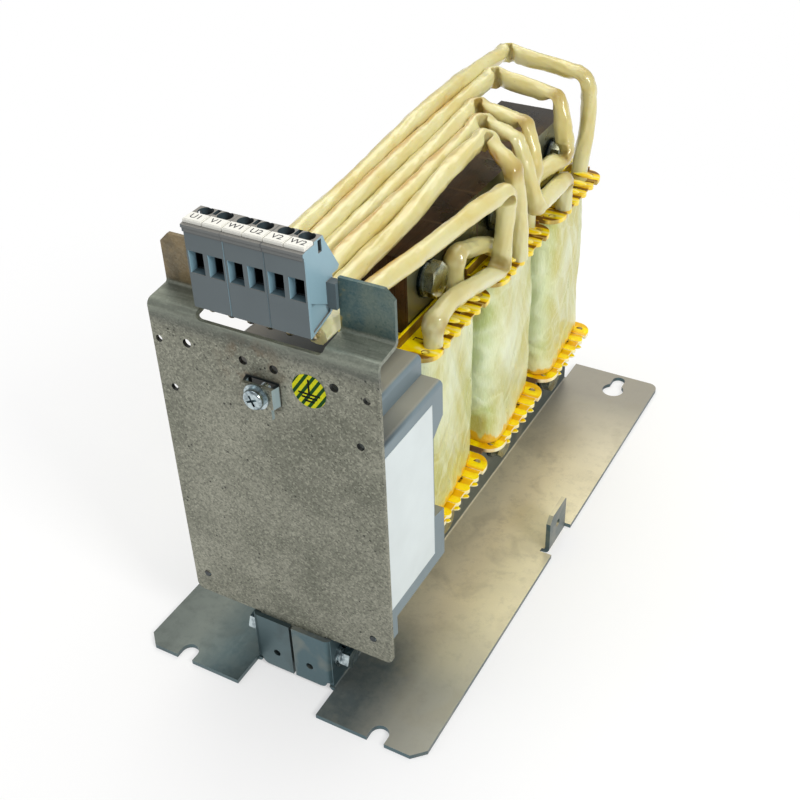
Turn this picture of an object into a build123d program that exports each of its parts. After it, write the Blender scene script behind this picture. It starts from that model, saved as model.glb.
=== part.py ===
"""Sine wave filter: three-phase choke, capacitor box and terminal block on a folded bracket.

Frame: X across, Y from the terminal side (front, -Y) to the rear, Z up, in mm.
The origin lies under the middle of the base, on the floor.
"""
from build123d import *
from math import cos, pi, radians, tan
import os

os.makedirs("parts", exist_ok=True)

# clearances
SLIDE = 0.3            # gap between curved faces and between a tube and its core leg
THREAD_PLAY = 0.1      # gap between a thread and its nut

# laminated core
CORE_LENGTH = 150.0    # along Y
CORE_HEIGHT = 150.0
CORE_STACK = 31.6      # thickness of the stack along X
LEG_WIDTH = 30.0
LEG_PITCH = (CORE_LENGTH - LEG_WIDTH) / 2
CORE_Y = 28.5          # middle leg stands behind the middle of the base
CORE_FOOT = 8.0        # height of the lower yoke above the floor
GAP_SPACER = 1.2       # insulating strip in each joint of the core
CORE_HALF = CORE_STACK / 2
CORE_TOP = CORE_FOOT + CORE_HEIGHT
WINDOW_BOTTOM = CORE_FOOT + LEG_WIDTH
WINDOW_TOP = CORE_TOP - LEG_WIDTH
LEG_Y = [CORE_Y - LEG_PITCH, CORE_Y, CORE_Y + LEG_PITCH]
NAMES = ["front", "middle", "rear"]

# base brackets
BASE_LENGTH = 268.0
BASE_WIDTH = 130.0
BASE_END = BASE_LENGTH / 2
BASE_EDGE = BASE_WIDTH / 2
SHEET = 2.0
WALL_IN = CORE_HALF     # the walls bear flat on the core
WALL_OUT = WALL_IN + SHEET
WALL_TOP = 33.8
BEND_OUT = 2.6
BEND_IN = 0.8
END_TAB_FACE = BASE_END - 13.8    # outer face of the folded end tabs
WALL_END = END_TAB_FACE - 1.2
WALL_SLOPE_END = WALL_END - 8.0
WALL_SLOPE_START = WALL_SLOPE_END - 7.0
END_TAB_TOP = 28.0
END_TAB_FOOT = 1.2
END_TAB_ROUND_TOP = 4.2    # the lower outer corner is rounded up to here
END_TAB_ROOT = 4.0         # length of wall that the tab's fold is drawn on
END_TAB_SLIT = 1.2
END_TAB_HOLE_X = 7.7
END_TAB_HOLE_Z = 10.0
END_TAB_HOLE_R = 1.6
NOTCH_X = 18.5
NOTCH_Y = BASE_END - 14.4
FIXING_X = BASE_EDGE - 20.0       # both rows of fixings stand this far from the middle
SLOT_Y = BASE_END - 3.5           # centre of the round end of the open front slots
SLOT_R = 3.8
KEYHOLE_Y = BASE_END - 14.3
KEYHOLE_R = 5.5
KEYHOLE_NECK_Y = BASE_END - 5.3
KEYHOLE_NECK_R = 3.25
CORNER_CUT = 5.0
CORNER_ROUND = 4.5
SIDE_TAB_FACE = BASE_EDGE - 2.0
SIDE_TAB_FRONT = -8.5
SIDE_TAB_REAR = 9.5
SIDE_TAB_TOP = 20.0
SIDE_TAB_CUT = 3.0
SIDE_TAB_NICK = 1.0
SIDE_TAB_HOLE_R = 1.9
SIDE_TAB_HOLE_Z = 11.5
SIDE_RELIEF = 2.2
SIDE_RELIEF_DEPTH = 5.6
LOWER_BOLT_Z = CORE_FOOT + LEG_WIDTH / 2
UPPER_BOLT_Z = CORE_TOP - LEG_WIDTH / 2

# screws
HEAD_TURN = 12.0       # the hexagons stand turned by this
NUT_TURN = 5.0
STAY_HEAD_TURN = 8.0
M8_R = 4.0
M8_HEAD_AF = 13.0
M8_HEAD = 4.3
M8_NUT = 6.5
M8_FLAT_R = 8.0
M8_FLAT = 1.0
M8_SPRING_R = 7.4
M8_SPRING = 1.0
M8_TIP = 3.0           # thread that stands out of the nut
HEAD_CHAMFER = 0.7     # the corners of the hexagons slope off by this
M5_R = 2.5
M5_HEAD_AF = 8.0
M5_HEAD = 3.5
M5_NUT = 4.0
M5_FLAT_R = 5.5
M5_FLAT = 1.0
M5_SPRING_R = 4.6
M5_SPRING = 1.2
M5_TIP = 1.5
STAY_SCREW_Y = -(WALL_END - 7.0)
STAY_SCREW_Z = 15.0

# bobbins and windings
TUBE_WALL = 1.5
TUBE_HALF_X = CORE_HALF + SLIDE + TUBE_WALL
TUBE_HALF_Y = LEG_WIDTH / 2 + SLIDE + TUBE_WALL
FLANGE = 2.0           # thickness at the fingers and the corner lobes
WEB = 0.9              # thickness between the fingers
WEB_SET = 0.4          # the web is set back from the winding's side by this
FLANGE_LOW = WINDOW_BOTTOM + 0.5  # underside of the bottom flange
FLANGE_HIGH = WINDOW_TOP - 2.1    # top of the top flange
FLANGE_HALF_Y = 28.0
FINGER_TIP_X = 32.4
FINGER_WIDTH = 4.4
FINGER_PITCH = 8.7
FINGER_Y = [(i - 1.5) * FINGER_PITCH for i in range(4)]
WEB_TIP_X = FINGER_TIP_X - 1.1
SLOT_ROOT_X = 18.8     # openings in the web, between the fingers
SLOT_TIP_X = 26.4
SLOT_WIDTH = 3.5
SLOT_ROWS = [(i - 1) * FINGER_PITCH for i in range(3)]
LOBE_WIDTH = 10.4
LOBE_ROUND = 7.6       # outer corners of the flange
LOBE_ROUND_IN = 2.6
LOBE_Y = FLANGE_HALF_Y - LOBE_WIDTH / 2
LOBE_HOLE_R = 1.6
LOBE_HOLE_X = 27.0
RIB = 1.2              # raised edge of the moulding
RIB_HEIGHT = 1.6
RIB_REACH = FINGER_TIP_X - LOBE_ROUND
SIDE_RIB_HEIGHT = 4.4
RIB_X = CORE_HALF + SLIDE
WINDING_HALF_X = 29.6  # half width over its front part
WINDING_REAR_X = 24.6  # it narrows towards the rear
WINDING_TAPER_Y = -12.0    # the narrowing starts here
WINDING_HALF_Y = 26.0
WINDING_ROUND = 8.0
WINDING_SIDE_ROUND = 40.0

# front plate
PLATE = 1.5
PLATE_HALF = 45.1
PLATE_FRONT = SHEET - END_TAB_FACE     # it stands behind the front end tabs
PLATE_BACK = PLATE_FRONT + PLATE
PLATE_LOW = 28.7
STEP_FRONT_Z = 164.5
STEP_REAR_Z = STEP_FRONT_Z + 1.2
EAR_FRONT = PLATE_FRONT + 11.6
EAR_BACK = EAR_FRONT + PLATE
EAR_TOP = STEP_FRONT_Z + 20.4
EAR_CUT = 3.5
PLATE_ROUND = 3.0
PLATE_BEND_OUT = 2.6
PLATE_BEND_IN = 1.1
CUTOUT_HALF = 25.0
CUTOUT_LOW = STEP_FRONT_Z - 2.5
CUTOUT_HEIGHT = 40.0   # the upper part runs out above the ears
CUTOUT_ROUND = 2.5
STAY_HALF = 14.6       # flat tongue that runs down behind the end tabs
STAY_LOW = 6.0
STAY_CHEEK_TOP = 26.0
STAY_CHEEK_REAR = PLATE_FRONT + 13.2
CHEEK_BEND = 1.1
HOLE_ROW_Z = STEP_FRONT_Z - 13.5
HOLE_SHIFT = -1.0      # the pattern of holes stands this far from the middle of the plate
HOLE_OUTER = (41.4, HOLE_ROW_Z - 1.4, 1.4)
HOLE_PAIR_X = [6.1, 29.3]
HOLE_PAIR_R = 1.7
PEG_X = 38.0
PEG_Z = [38.6, 130.0]
PEG_R = 1.2
PEG_STAND = 0.3
STICKER_X = 18.5
STICKER_Z = HOLE_ROW_Z - 4.4
STICKER_R = 6.5
STICKER_THICK = 0.15

# earth tab
LUG_HALF = 7.0
LUG_TOP = HOLE_ROW_Z - 6.0
LUG_LOW = LUG_TOP - 8.0
LUG_FOOT = LUG_LOW - 4.4
LUG_FOOT_HALF = 5.1
LUG_STAND = 2.2        # free height of the bridge above the plate
LUG_THICK = 1.5
LUG_LEAN = 1.0         # slope of the bridge's ends
LUG_FACE = PLATE_FRONT - LUG_STAND - LUG_THICK
LUG_SCREW_Z = (LUG_LOW + LUG_TOP) / 2 + 0.2
EARTH_R = 2.0
EARTH_HEAD_R = 3.9
EARTH_HEAD = 2.6
EARTH_HEAD_ROUND = 1.0
RECESS_LENGTH = 4.4    # cross recess of the earth screw
RECESS_WIDTH = 0.9
RECESS_DEPTH = 1.5
EARTH_WASHER_R = 4.9
EARTH_WASHER = 0.9
EARTH_TIP = 4.0

# capacitor box
BOX_HALF = 41.9
BOX_REAR = LEG_Y[0] - FLANGE_HALF_Y - 9.7    # stays clear of the front bobbin
BOX_RECESS_REAR = BOX_REAR - 7.6
BOX_LOW = 43.5
BOX_LIP_LOW = 34.4
BOX_LIP_REAR = PLATE_BACK + 8.7
BOX_SHOULDER = 127.2
BOX_TOP = BOX_SHOULDER + 8.4
BOX_TOP_HALF = 33.4
BOX_RECESS_LOW = 67.0
BOX_RECESS_HIGH = BOX_SHOULDER - 15.2
BOX_RECESS_SLOPE_LOW = 1.5
BOX_RECESS_SLOPE_HIGH = 6.0
BOX_ROUND = 2.0
LABEL_REAR = BOX_RECESS_REAR - 0.8
LABEL_FRONT = PLATE_BACK + 1.2
LABEL_LOW = BOX_LOW + 6.5
LABEL_HIGH = BOX_SHOULDER - 5.4
LABEL_THICK = 0.15

# terminal block
POLE_PITCH = 7.62
MODULES = 3
MODULE_WIDTH = 2 * POLE_PITCH
BLOCK_HALF = MODULES * MODULE_WIDTH / 2
BLOCK_X = -1.4         # the block is pushed towards the left end of its cut-out
CLIP_PLAY = 0.1        # gap between the end clips and the ears
BLOCK_FRONT = PLATE_FRONT - 0.1
BLOCK_HEIGHT = 31.8
BLOCK_LOW_FRONT = STEP_FRONT_Z + 3.1
BLOCK_LOW_RISE = 2.9   # its underside rises to the rear by this
BLOCK_TOP = BLOCK_LOW_FRONT + BLOCK_HEIGHT
BLOCK_LOW_REAR = BLOCK_FRONT + 11.6
UNDERSIDE_SLOPE = BLOCK_LOW_RISE / (BLOCK_LOW_REAR - BLOCK_FRONT)
FUNNEL_WIDTH = 5.8
FUNNEL_HEIGHT = 8.2
FUNNEL_Z = BLOCK_TOP - 14.8
FUNNEL_DEPTH = 3.0
ENTRY_WIDTH = 4.6
ENTRY_HEIGHT = 6.0
ENTRY_DEPTH = 8.5
SCREW_HOLE_R = 2.7
SCREW_HOLE_Y = BLOCK_FRONT + 7.9
SCREW_HOLE_DEPTH = 6.0
CLAMP_SCREW_R = 2.3
CLAMP_SCREW = 2.0
TAG_DEPTH = 5.2
TAG_THICK = 0.9
TAG_GAP = 0.35
TAG_FRONT = BLOCK_FRONT + 0.3
CLIP_LOW = BLOCK_LOW_FRONT + 5.9
CLIP_HIGH = CLIP_LOW + 9.5
CLIP_FRONT = EAR_FRONT - 1.4
CLIP_REAR = EAR_FRONT + 2.0
TAIL_R = 1.3
TAIL_Y = BLOCK_FRONT + 4.1
POLE_X = [BLOCK_X + (i - 2.5) * POLE_PITCH for i in range(6)]

# leads
LEAD_R = 3.45          # sleeved lead
LEAD_END_Y = BLOCK_FRONT + 14.7   # front end of the sleeves, behind the terminal block
LEAD_END_Z = BLOCK_LOW_FRONT - 3.2
LEAD_LAND = FLANGE_HIGH
BEND_SHARE = 0.45      # part of the shorter run that a bend may use up
FOLD_SHARE = 0.55
FOLD_TURN = 50.0       # turns above this many degrees are folds
FOLD_RADIUS = 8.0
SWEEP_RADIUS = 80.0
TAIL_BEND = 1.5


def save(part, name):
    """Write one solid or group of solids under its plain name."""
    part.label = name
    export_step(part, f"parts/{name}.step")
    print(f"{name:24s} volume {part.volume:10.0f} mm3  solids {len(part.solids())}")


# base brackets
def base_bracket(side, name):
    """One folded bracket: floor flange, wall against the core, end tabs and side tab."""
    middle_x = (WALL_IN + BASE_WIDTH / 2) / 2
    with BuildPart() as bracket:
        with BuildSketch(Plane.XY):
            with Locations((middle_x, 0)):
                Rectangle(BASE_WIDTH / 2 - WALL_IN, BASE_LENGTH)
            corner = (BASE_WIDTH / 2, -BASE_LENGTH / 2)
            with BuildLine(mode=Mode.PRIVATE) as cut_line:
                Polyline(corner, (corner[0] - CORNER_CUT, corner[1]),
                         (corner[0], corner[1] + CORNER_CUT), corner)
            make_face(cut_line.edges(), mode=Mode.SUBTRACT)
            for end in (-1, 1):
                with Locations((NOTCH_X / 2, end * (NOTCH_Y + BASE_LENGTH / 2) / 2)):
                    Rectangle(NOTCH_X, BASE_LENGTH / 2 - NOTCH_Y, mode=Mode.SUBTRACT)
            with Locations((FIXING_X, -SLOT_Y)):
                Circle(SLOT_R, mode=Mode.SUBTRACT)
            with Locations((FIXING_X, -(SLOT_Y + BASE_LENGTH / 2) / 2)):
                Rectangle(2 * SLOT_R, BASE_LENGTH / 2 - SLOT_Y, mode=Mode.SUBTRACT)
            with Locations((FIXING_X, KEYHOLE_Y)):
                Circle(KEYHOLE_R, mode=Mode.SUBTRACT)
            with Locations((FIXING_X, KEYHOLE_NECK_Y)):
                Circle(KEYHOLE_NECK_R, mode=Mode.SUBTRACT)
            with Locations((FIXING_X, (KEYHOLE_Y + KEYHOLE_NECK_Y) / 2)):
                Rectangle(2 * KEYHOLE_NECK_R, KEYHOLE_NECK_Y - KEYHOLE_Y, mode=Mode.SUBTRACT)
            relief_front = SIDE_TAB_FRONT - SIDE_RELIEF / 2
            relief_rear = SIDE_TAB_REAR + SIDE_RELIEF / 2
            for y in (relief_front, relief_rear):
                with Locations((BASE_WIDTH / 2 - SIDE_RELIEF_DEPTH / 2, y)):
                    Rectangle(SIDE_RELIEF_DEPTH, SIDE_RELIEF, mode=Mode.SUBTRACT)
            strip = BASE_WIDTH / 2 - SIDE_TAB_FACE
            with Locations((BASE_WIDTH / 2 - strip / 2, (SIDE_TAB_FRONT + SIDE_TAB_REAR) / 2)):
                Rectangle(strip, SIDE_TAB_REAR - SIDE_TAB_FRONT + 2 * SIDE_RELIEF,
                          mode=Mode.SUBTRACT)
        extrude(amount=SHEET)
        rear_corner = bracket.edges().filter_by(Axis.Z).sort_by(
            lambda e: (e.center() - Vector(BASE_WIDTH / 2, BASE_LENGTH / 2, SHEET / 2)).length)[0]
        fillet(rear_corner, CORNER_ROUND)
        # wall that carries the core
        with BuildSketch(Plane.YZ.offset(WALL_IN)):
            with BuildLine():
                Polyline((-WALL_END, 0), (-WALL_END, END_TAB_TOP),
                         (-WALL_SLOPE_END, END_TAB_TOP), (-WALL_SLOPE_START, WALL_TOP),
                         (WALL_SLOPE_START, WALL_TOP), (WALL_SLOPE_END, END_TAB_TOP),
                         (WALL_END, END_TAB_TOP), (WALL_END, 0), (-WALL_END, 0))
            make_face()
            with Locations(*[(y, LOWER_BOLT_Z) for y in LEG_Y]):
                Circle(M8_R + SLIDE, mode=Mode.SUBTRACT)
            with Locations((STAY_SCREW_Y, STAY_SCREW_Z)):
                Circle(M5_R + SLIDE, mode=Mode.SUBTRACT)
        extrude(amount=SHEET)
        # side tab
        with BuildSketch(Plane.YZ.offset(SIDE_TAB_FACE - SHEET)):
            with BuildLine():
                Polyline((SIDE_TAB_FRONT, 0), (SIDE_TAB_FRONT, SIDE_TAB_TOP - SIDE_TAB_CUT),
                         (SIDE_TAB_FRONT + SIDE_TAB_CUT, SIDE_TAB_TOP),
                         (SIDE_TAB_REAR - SIDE_TAB_NICK, SIDE_TAB_TOP),
                         (SIDE_TAB_REAR, SIDE_TAB_TOP - SIDE_TAB_NICK), (SIDE_TAB_REAR, 0),
                         (SIDE_TAB_FRONT, 0))
            make_face()
            with Locations(((SIDE_TAB_FRONT + SIDE_TAB_REAR) / 2, SIDE_TAB_HOLE_Z)):
                Circle(SIDE_TAB_HOLE_R, mode=Mode.SUBTRACT)
        extrude(amount=SHEET)
        # bends: the long one, the side tab and the upright ones of the end tabs
        long_out = bracket.edges().filter_by(Axis.Y).filter_by_position(
            Axis.X, WALL_IN - 0.01, WALL_IN + 0.01).filter_by_position(Axis.Z, -0.01, 0.01)
        fillet(long_out, BEND_OUT)
        long_in = bracket.edges().filter_by(Axis.Y).filter_by_position(
            Axis.X, WALL_OUT - 0.01, WALL_OUT + 0.01).filter_by_position(
            Axis.Z, SHEET - 0.01, SHEET + 0.01)
        fillet(long_in, BEND_IN)
        tab_out = bracket.edges().filter_by(Axis.Y).filter_by_position(
            Axis.X, SIDE_TAB_FACE - 0.01, SIDE_TAB_FACE + 0.01).filter_by_position(
            Axis.Z, -0.01, 0.01)
        fillet(tab_out, BEND_OUT)
        tab_in = bracket.edges().filter_by(Axis.Y).filter_by_position(
            Axis.X, SIDE_TAB_FACE - SHEET - 0.01, SIDE_TAB_FACE - SHEET + 0.01).filter_by_position(
            Axis.Z, SHEET - 0.01, SHEET + 0.01)
        fillet(tab_in, BEND_IN)
        # end tabs, folded towards the middle, with a rounded lower corner
        for end in (-1, 1):
            with BuildSketch(Plane.XY.offset(END_TAB_ROUND_TOP)) as plan:
                with Locations(((WALL_IN + WALL_OUT) / 2, end * (END_TAB_FACE - END_TAB_ROOT / 2))):
                    Rectangle(SHEET, END_TAB_ROOT)
                with Locations(((END_TAB_SLIT / 2 + WALL_OUT) / 2, end * (END_TAB_FACE - SHEET / 2))):
                    Rectangle(WALL_OUT - END_TAB_SLIT / 2, SHEET)
                outer = plan.vertices().sort_by_distance((WALL_OUT, end * END_TAB_FACE))[0]
                fillet(outer, BEND_OUT)
                inner = plan.vertices().sort_by_distance((WALL_IN, end * (END_TAB_FACE - SHEET)))[0]
                fillet(inner, BEND_IN)
            extrude(amount=END_TAB_TOP - END_TAB_ROUND_TOP)
            foot_x = WALL_OUT - BEND_OUT
            with BuildSketch(Plane.XZ.offset(-end * END_TAB_FACE)) as foot:
                with Locations(((END_TAB_SLIT / 2 + foot_x) / 2, (END_TAB_FOOT + END_TAB_ROUND_TOP) / 2)):
                    Rectangle(foot_x - END_TAB_SLIT / 2, END_TAB_ROUND_TOP - END_TAB_FOOT)
                low_corner = foot.vertices().sort_by_distance((foot_x, END_TAB_FOOT))[0]
                fillet(low_corner, END_TAB_ROUND_TOP - END_TAB_FOOT - 0.1)
            extrude(amount=end * SHEET)
            with BuildSketch(Plane.XZ.offset(-end * END_TAB_FACE)):
                with Locations((END_TAB_HOLE_X, END_TAB_HOLE_Z)):
                    Circle(END_TAB_HOLE_R)
            extrude(amount=end * SHEET, mode=Mode.SUBTRACT)
        if side < 0:
            mirror(about=Plane.YZ, mode=Mode.REPLACE)
    save(bracket.part, name)


base_bracket(1, "base_bracket_right")
base_bracket(-1, "base_bracket_left")


# core
def core_leg(y, name):
    """One full-height leg of stacked strips, with its two bolt holes."""
    with BuildPart() as leg:
        with BuildSketch(Plane.YZ.offset(-CORE_HALF)):
            with Locations((y, CORE_FOOT + CORE_HEIGHT / 2)):
                Rectangle(LEG_WIDTH, CORE_HEIGHT)
            with Locations((y, LOWER_BOLT_Z), (y, UPPER_BOLT_Z)):
                Circle(M8_R + SLIDE, mode=Mode.SUBTRACT)
        extrude(amount=CORE_STACK)
    save(leg.part, name)


for leg_y, leg_name in zip(LEG_Y, NAMES):
    core_leg(leg_y, f"core_leg_{leg_name}")

YOKE_LENGTH = LEG_PITCH - LEG_WIDTH - 2 * GAP_SPACER


def yoke_blocks(z_middle, name):
    """The two short stacks that close the core between its legs."""
    with BuildPart() as yoke:
        with BuildSketch(Plane.YZ.offset(-CORE_HALF)):
            for end in (-1, 1):
                with Locations((CORE_Y + end * LEG_PITCH / 2, z_middle)):
                    Rectangle(YOKE_LENGTH, LEG_WIDTH)
        extrude(amount=CORE_STACK)
    save(yoke.part, name)


yoke_blocks(UPPER_BOLT_Z, "core_yoke_upper")
yoke_blocks(LOWER_BOLT_Z, "core_yoke_lower")

with BuildPart() as spacers:
    for gap_z in (LOWER_BOLT_Z, UPPER_BOLT_Z):
        with BuildSketch(Plane.YZ.offset(-CORE_HALF)):
            for end in (-1, 1):
                inner = CORE_Y + end * (LEG_WIDTH / 2 + GAP_SPACER / 2)
                outer = CORE_Y + end * (LEG_PITCH - LEG_WIDTH / 2 - GAP_SPACER / 2)
                with Locations((inner, gap_z), (outer, gap_z)):
                    Rectangle(GAP_SPACER, LEG_WIDTH)
        extrude(amount=CORE_STACK)
save(spacers.part, "gap_spacers")


# bobbins
def tube_opening():
    """Square opening for the core leg, cut from the current sketch."""
    Rectangle(2 * (TUBE_HALF_X - TUBE_WALL), 2 * (TUBE_HALF_Y - TUBE_WALL), mode=Mode.SUBTRACT)


def flange_bars():
    """End bars with round lobes, strips along the tube, and the fingers of the comb."""
    with Locations((0, -LOBE_Y), (0, LOBE_Y)):
        Rectangle(2 * FINGER_TIP_X, LOBE_WIDTH)
    for x_side in (-1, 1):
        with Locations((x_side * SLOT_ROOT_X / 2, 0)):
            Rectangle(SLOT_ROOT_X, 2 * FLANGE_HALF_Y - LOBE_WIDTH)
        for y in FINGER_Y:
            with Locations((x_side * (FINGER_TIP_X - FINGER_WIDTH / 2) / 2, y)):
                Rectangle(FINGER_TIP_X - FINGER_WIDTH / 2, FINGER_WIDTH)
            with Locations((x_side * (FINGER_TIP_X - FINGER_WIDTH / 2), y)):
                Circle(FINGER_WIDTH / 2)


def web_outline():
    """Thin web between the fingers, with an opening near the root of each gap."""
    Rectangle(2 * WEB_TIP_X, 2 * FLANGE_HALF_Y - LOBE_WIDTH)
    slot_x = (SLOT_ROOT_X + SLOT_TIP_X) / 2
    with Locations(*[(x_side * slot_x, y) for x_side in (-1, 1) for y in SLOT_ROWS]):
        Rectangle(SLOT_TIP_X - SLOT_ROOT_X, SLOT_WIDTH, mode=Mode.SUBTRACT)


def bobbin(y, name):
    """Moulded bobbin: square tube with a comb-edged flange at each end."""
    with BuildPart() as body:
        for z, rib_dir in ((FLANGE_LOW, -1), (FLANGE_HIGH - FLANGE, 1)):
            with BuildSketch(Plane.XY.offset(z)) as bars:
                flange_bars()
                tips = bars.vertices().filter_by_position(
                    Axis.X, FINGER_TIP_X - 0.1, FINGER_TIP_X + 0.1)
                tips += bars.vertices().filter_by_position(
                    Axis.X, -FINGER_TIP_X - 0.1, -FINGER_TIP_X + 0.1)
                fillet([v for v in tips if abs(v.Y) > LOBE_Y], LOBE_ROUND)
                fillet([v for v in tips if FINGER_Y[-1] + FINGER_WIDTH / 2 < abs(v.Y) < LOBE_Y],
                       LOBE_ROUND_IN)
                tube_opening()
                with Locations(*[(sx * LOBE_HOLE_X, sy * LOBE_Y)
                                 for sx in (-1, 1) for sy in (-1, 1)]):
                    Circle(LOBE_HOLE_R, mode=Mode.SUBTRACT)
            extrude(amount=FLANGE)
            web_base = z + WEB_SET if rib_dir > 0 else z + FLANGE - WEB_SET - WEB
            with BuildSketch(Plane.XY.offset(web_base)):
                web_outline()
                tube_opening()
            extrude(amount=WEB)
            rib_base = z + FLANGE if rib_dir > 0 else z
            # raised edges beside the yoke and along the two ends
            with BuildSketch(Plane.XY.offset(rib_base)):
                for x_side in (-1, 1):
                    with Locations((x_side * (RIB_X + RIB / 2), 0)):
                        Rectangle(RIB, 2 * FLANGE_HALF_Y)
            extrude(amount=rib_dir * SIDE_RIB_HEIGHT)
            with BuildSketch(Plane.XY.offset(rib_base)):
                for x_side in (-1, 1):
                    for y_side in (-1, 1):
                        with Locations((x_side * (RIB_X + RIB_REACH) / 2,
                                        y_side * (FLANGE_HALF_Y - RIB / 2))):
                            Rectangle(RIB_REACH - RIB_X, RIB)
            extrude(amount=rib_dir * RIB_HEIGHT)
        with BuildSketch(Plane.XY.offset(FLANGE_LOW + FLANGE)):
            Rectangle(2 * TUBE_HALF_X, 2 * TUBE_HALF_Y)
            tube_opening()
        extrude(amount=FLANGE_HIGH - FLANGE_LOW - 2 * FLANGE)
    body.part.position = (0, y, 0)
    save(body.part, name)


def winding(y, name):
    """Taped winding around the tube, between the flanges; its sides narrow to the rear."""
    low = FLANGE_LOW + FLANGE
    with BuildPart() as coil:
        with BuildSketch(Plane.XY.offset(low)) as plan:
            with BuildLine():
                Polyline((-WINDING_HALF_X, -WINDING_HALF_Y), (WINDING_HALF_X, -WINDING_HALF_Y),
                         (WINDING_HALF_X, WINDING_TAPER_Y), (WINDING_REAR_X, WINDING_HALF_Y),
                         (-WINDING_REAR_X, WINDING_HALF_Y), (-WINDING_HALF_X, WINDING_TAPER_Y),
                         (-WINDING_HALF_X, -WINDING_HALF_Y))
            make_face()
            fillet([v for v in plan.vertices() if abs(v.Y) > WINDING_HALF_Y - 0.01], WINDING_ROUND)
            fillet([v for v in plan.vertices() if abs(v.Y - WINDING_TAPER_Y) < 0.01],
                   WINDING_SIDE_ROUND)
            Rectangle(2 * TUBE_HALF_X, 2 * TUBE_HALF_Y, mode=Mode.SUBTRACT)
        extrude(amount=FLANGE_HIGH - FLANGE - low)
    coil.part.position = (0, y, 0)
    save(coil.part, name)


for coil_y, coil_name in zip(LEG_Y, NAMES):
    bobbin(coil_y, f"bobbin_{coil_name}")
    winding(coil_y, f"winding_{coil_name}")


# fasteners of the core
def along_x(x, y, z):
    """Plane whose normal is +X, placed at a point."""
    return Plane(origin=(x, y, z), x_dir=(0, 1, 0), z_dir=(1, 0, 0))


def hexagon_r(across_flats):
    return across_flats / 2 / cos(radians(30))


def hexagon_head(across_flats, height, turn):
    """Bolt head on the YZ plane, its outer corners sloping off."""
    with BuildPart() as head:
        with BuildSketch(Plane.YZ):
            RegularPolygon(hexagon_r(across_flats), 6, rotation=turn)
        extrude(amount=height)
        with BuildSketch(Plane.XY):
            with BuildLine():
                reach = hexagon_r(across_flats) + 0.1
                Polyline((0, 0), (0, reach), (height - HEAD_CHAMFER, reach),
                         (height, reach - 2 * HEAD_CHAMFER), (height, 0), (0, 0))
            make_face()
        revolve(axis=Axis.X, mode=Mode.INTERSECT)
    return head.part


def bolt_rows(seat, z, y_list, name):
    """Hex bolts along X whose washers rest on x = seat, with thread up to the nut's end."""
    under_head = seat + M8_FLAT + M8_SPRING
    tip = -seat - M8_FLAT - M8_NUT - M8_TIP
    with BuildPart() as bolts:
        for y in y_list:
            add(hexagon_head(M8_HEAD_AF, M8_HEAD, HEAD_TURN).moved(Location((under_head, y, z))))
            with BuildSketch(along_x(tip, y, z)):
                Circle(M8_R)
            extrude(amount=under_head - tip)
    save(bolts.part, name)


bolt_rows(CORE_HALF, UPPER_BOLT_Z, LEG_Y, "upper_core_bolts")
bolt_rows(WALL_OUT, LOWER_BOLT_Z, LEG_Y, "lower_core_bolts")

SEATS = [(CORE_HALF, UPPER_BOLT_Z), (WALL_OUT, LOWER_BOLT_Z)]


def rings(places, outer, inner, thick, name, split=False):
    """Washers along X; each place gives the x of the face nearest the core."""
    with BuildPart() as group:
        for x, y, z, way in places:
            with BuildSketch(along_x(x, y, z)):
                Circle(outer)
                Circle(inner, mode=Mode.SUBTRACT)
                if split:
                    with Locations((0, (outer + inner) / 2)):
                        Rectangle(0.8, outer - inner + 1, rotation=20, mode=Mode.SUBTRACT)
            extrude(amount=way * thick)
    save(group.part, name)


rings([(way * seat, y, z, way) for seat, z in SEATS for y in LEG_Y for way in (-1, 1)],
      M8_FLAT_R, M8_R + SLIDE, M8_FLAT, "core_flat_washers")
rings([(seat + M8_FLAT, y, z, 1) for seat, z in SEATS for y in LEG_Y],
      M8_SPRING_R, M8_R + SLIDE, M8_SPRING, "core_spring_washers", split=True)

with BuildPart() as nuts:
    for seat, nut_z in SEATS:
        for nut_y in LEG_Y:
            with BuildSketch(along_x(-seat - M8_FLAT, nut_y, nut_z)):
                RegularPolygon(hexagon_r(M8_HEAD_AF), 6, rotation=NUT_TURN)
                Circle(M8_R + THREAD_PLAY, mode=Mode.SUBTRACT)
            extrude(amount=-M8_NUT)
save(nuts.part, "core_nuts")


# front plate
def bend_at(sheet, y, z):
    """The edge along X of a folded sheet that passes through y and z."""
    return sheet.edges().filter_by(Axis.X).filter_by_position(
        Axis.Y, y - 0.01, y + 0.01).filter_by_position(Axis.Z, z - 0.01, z + 0.01)


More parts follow.
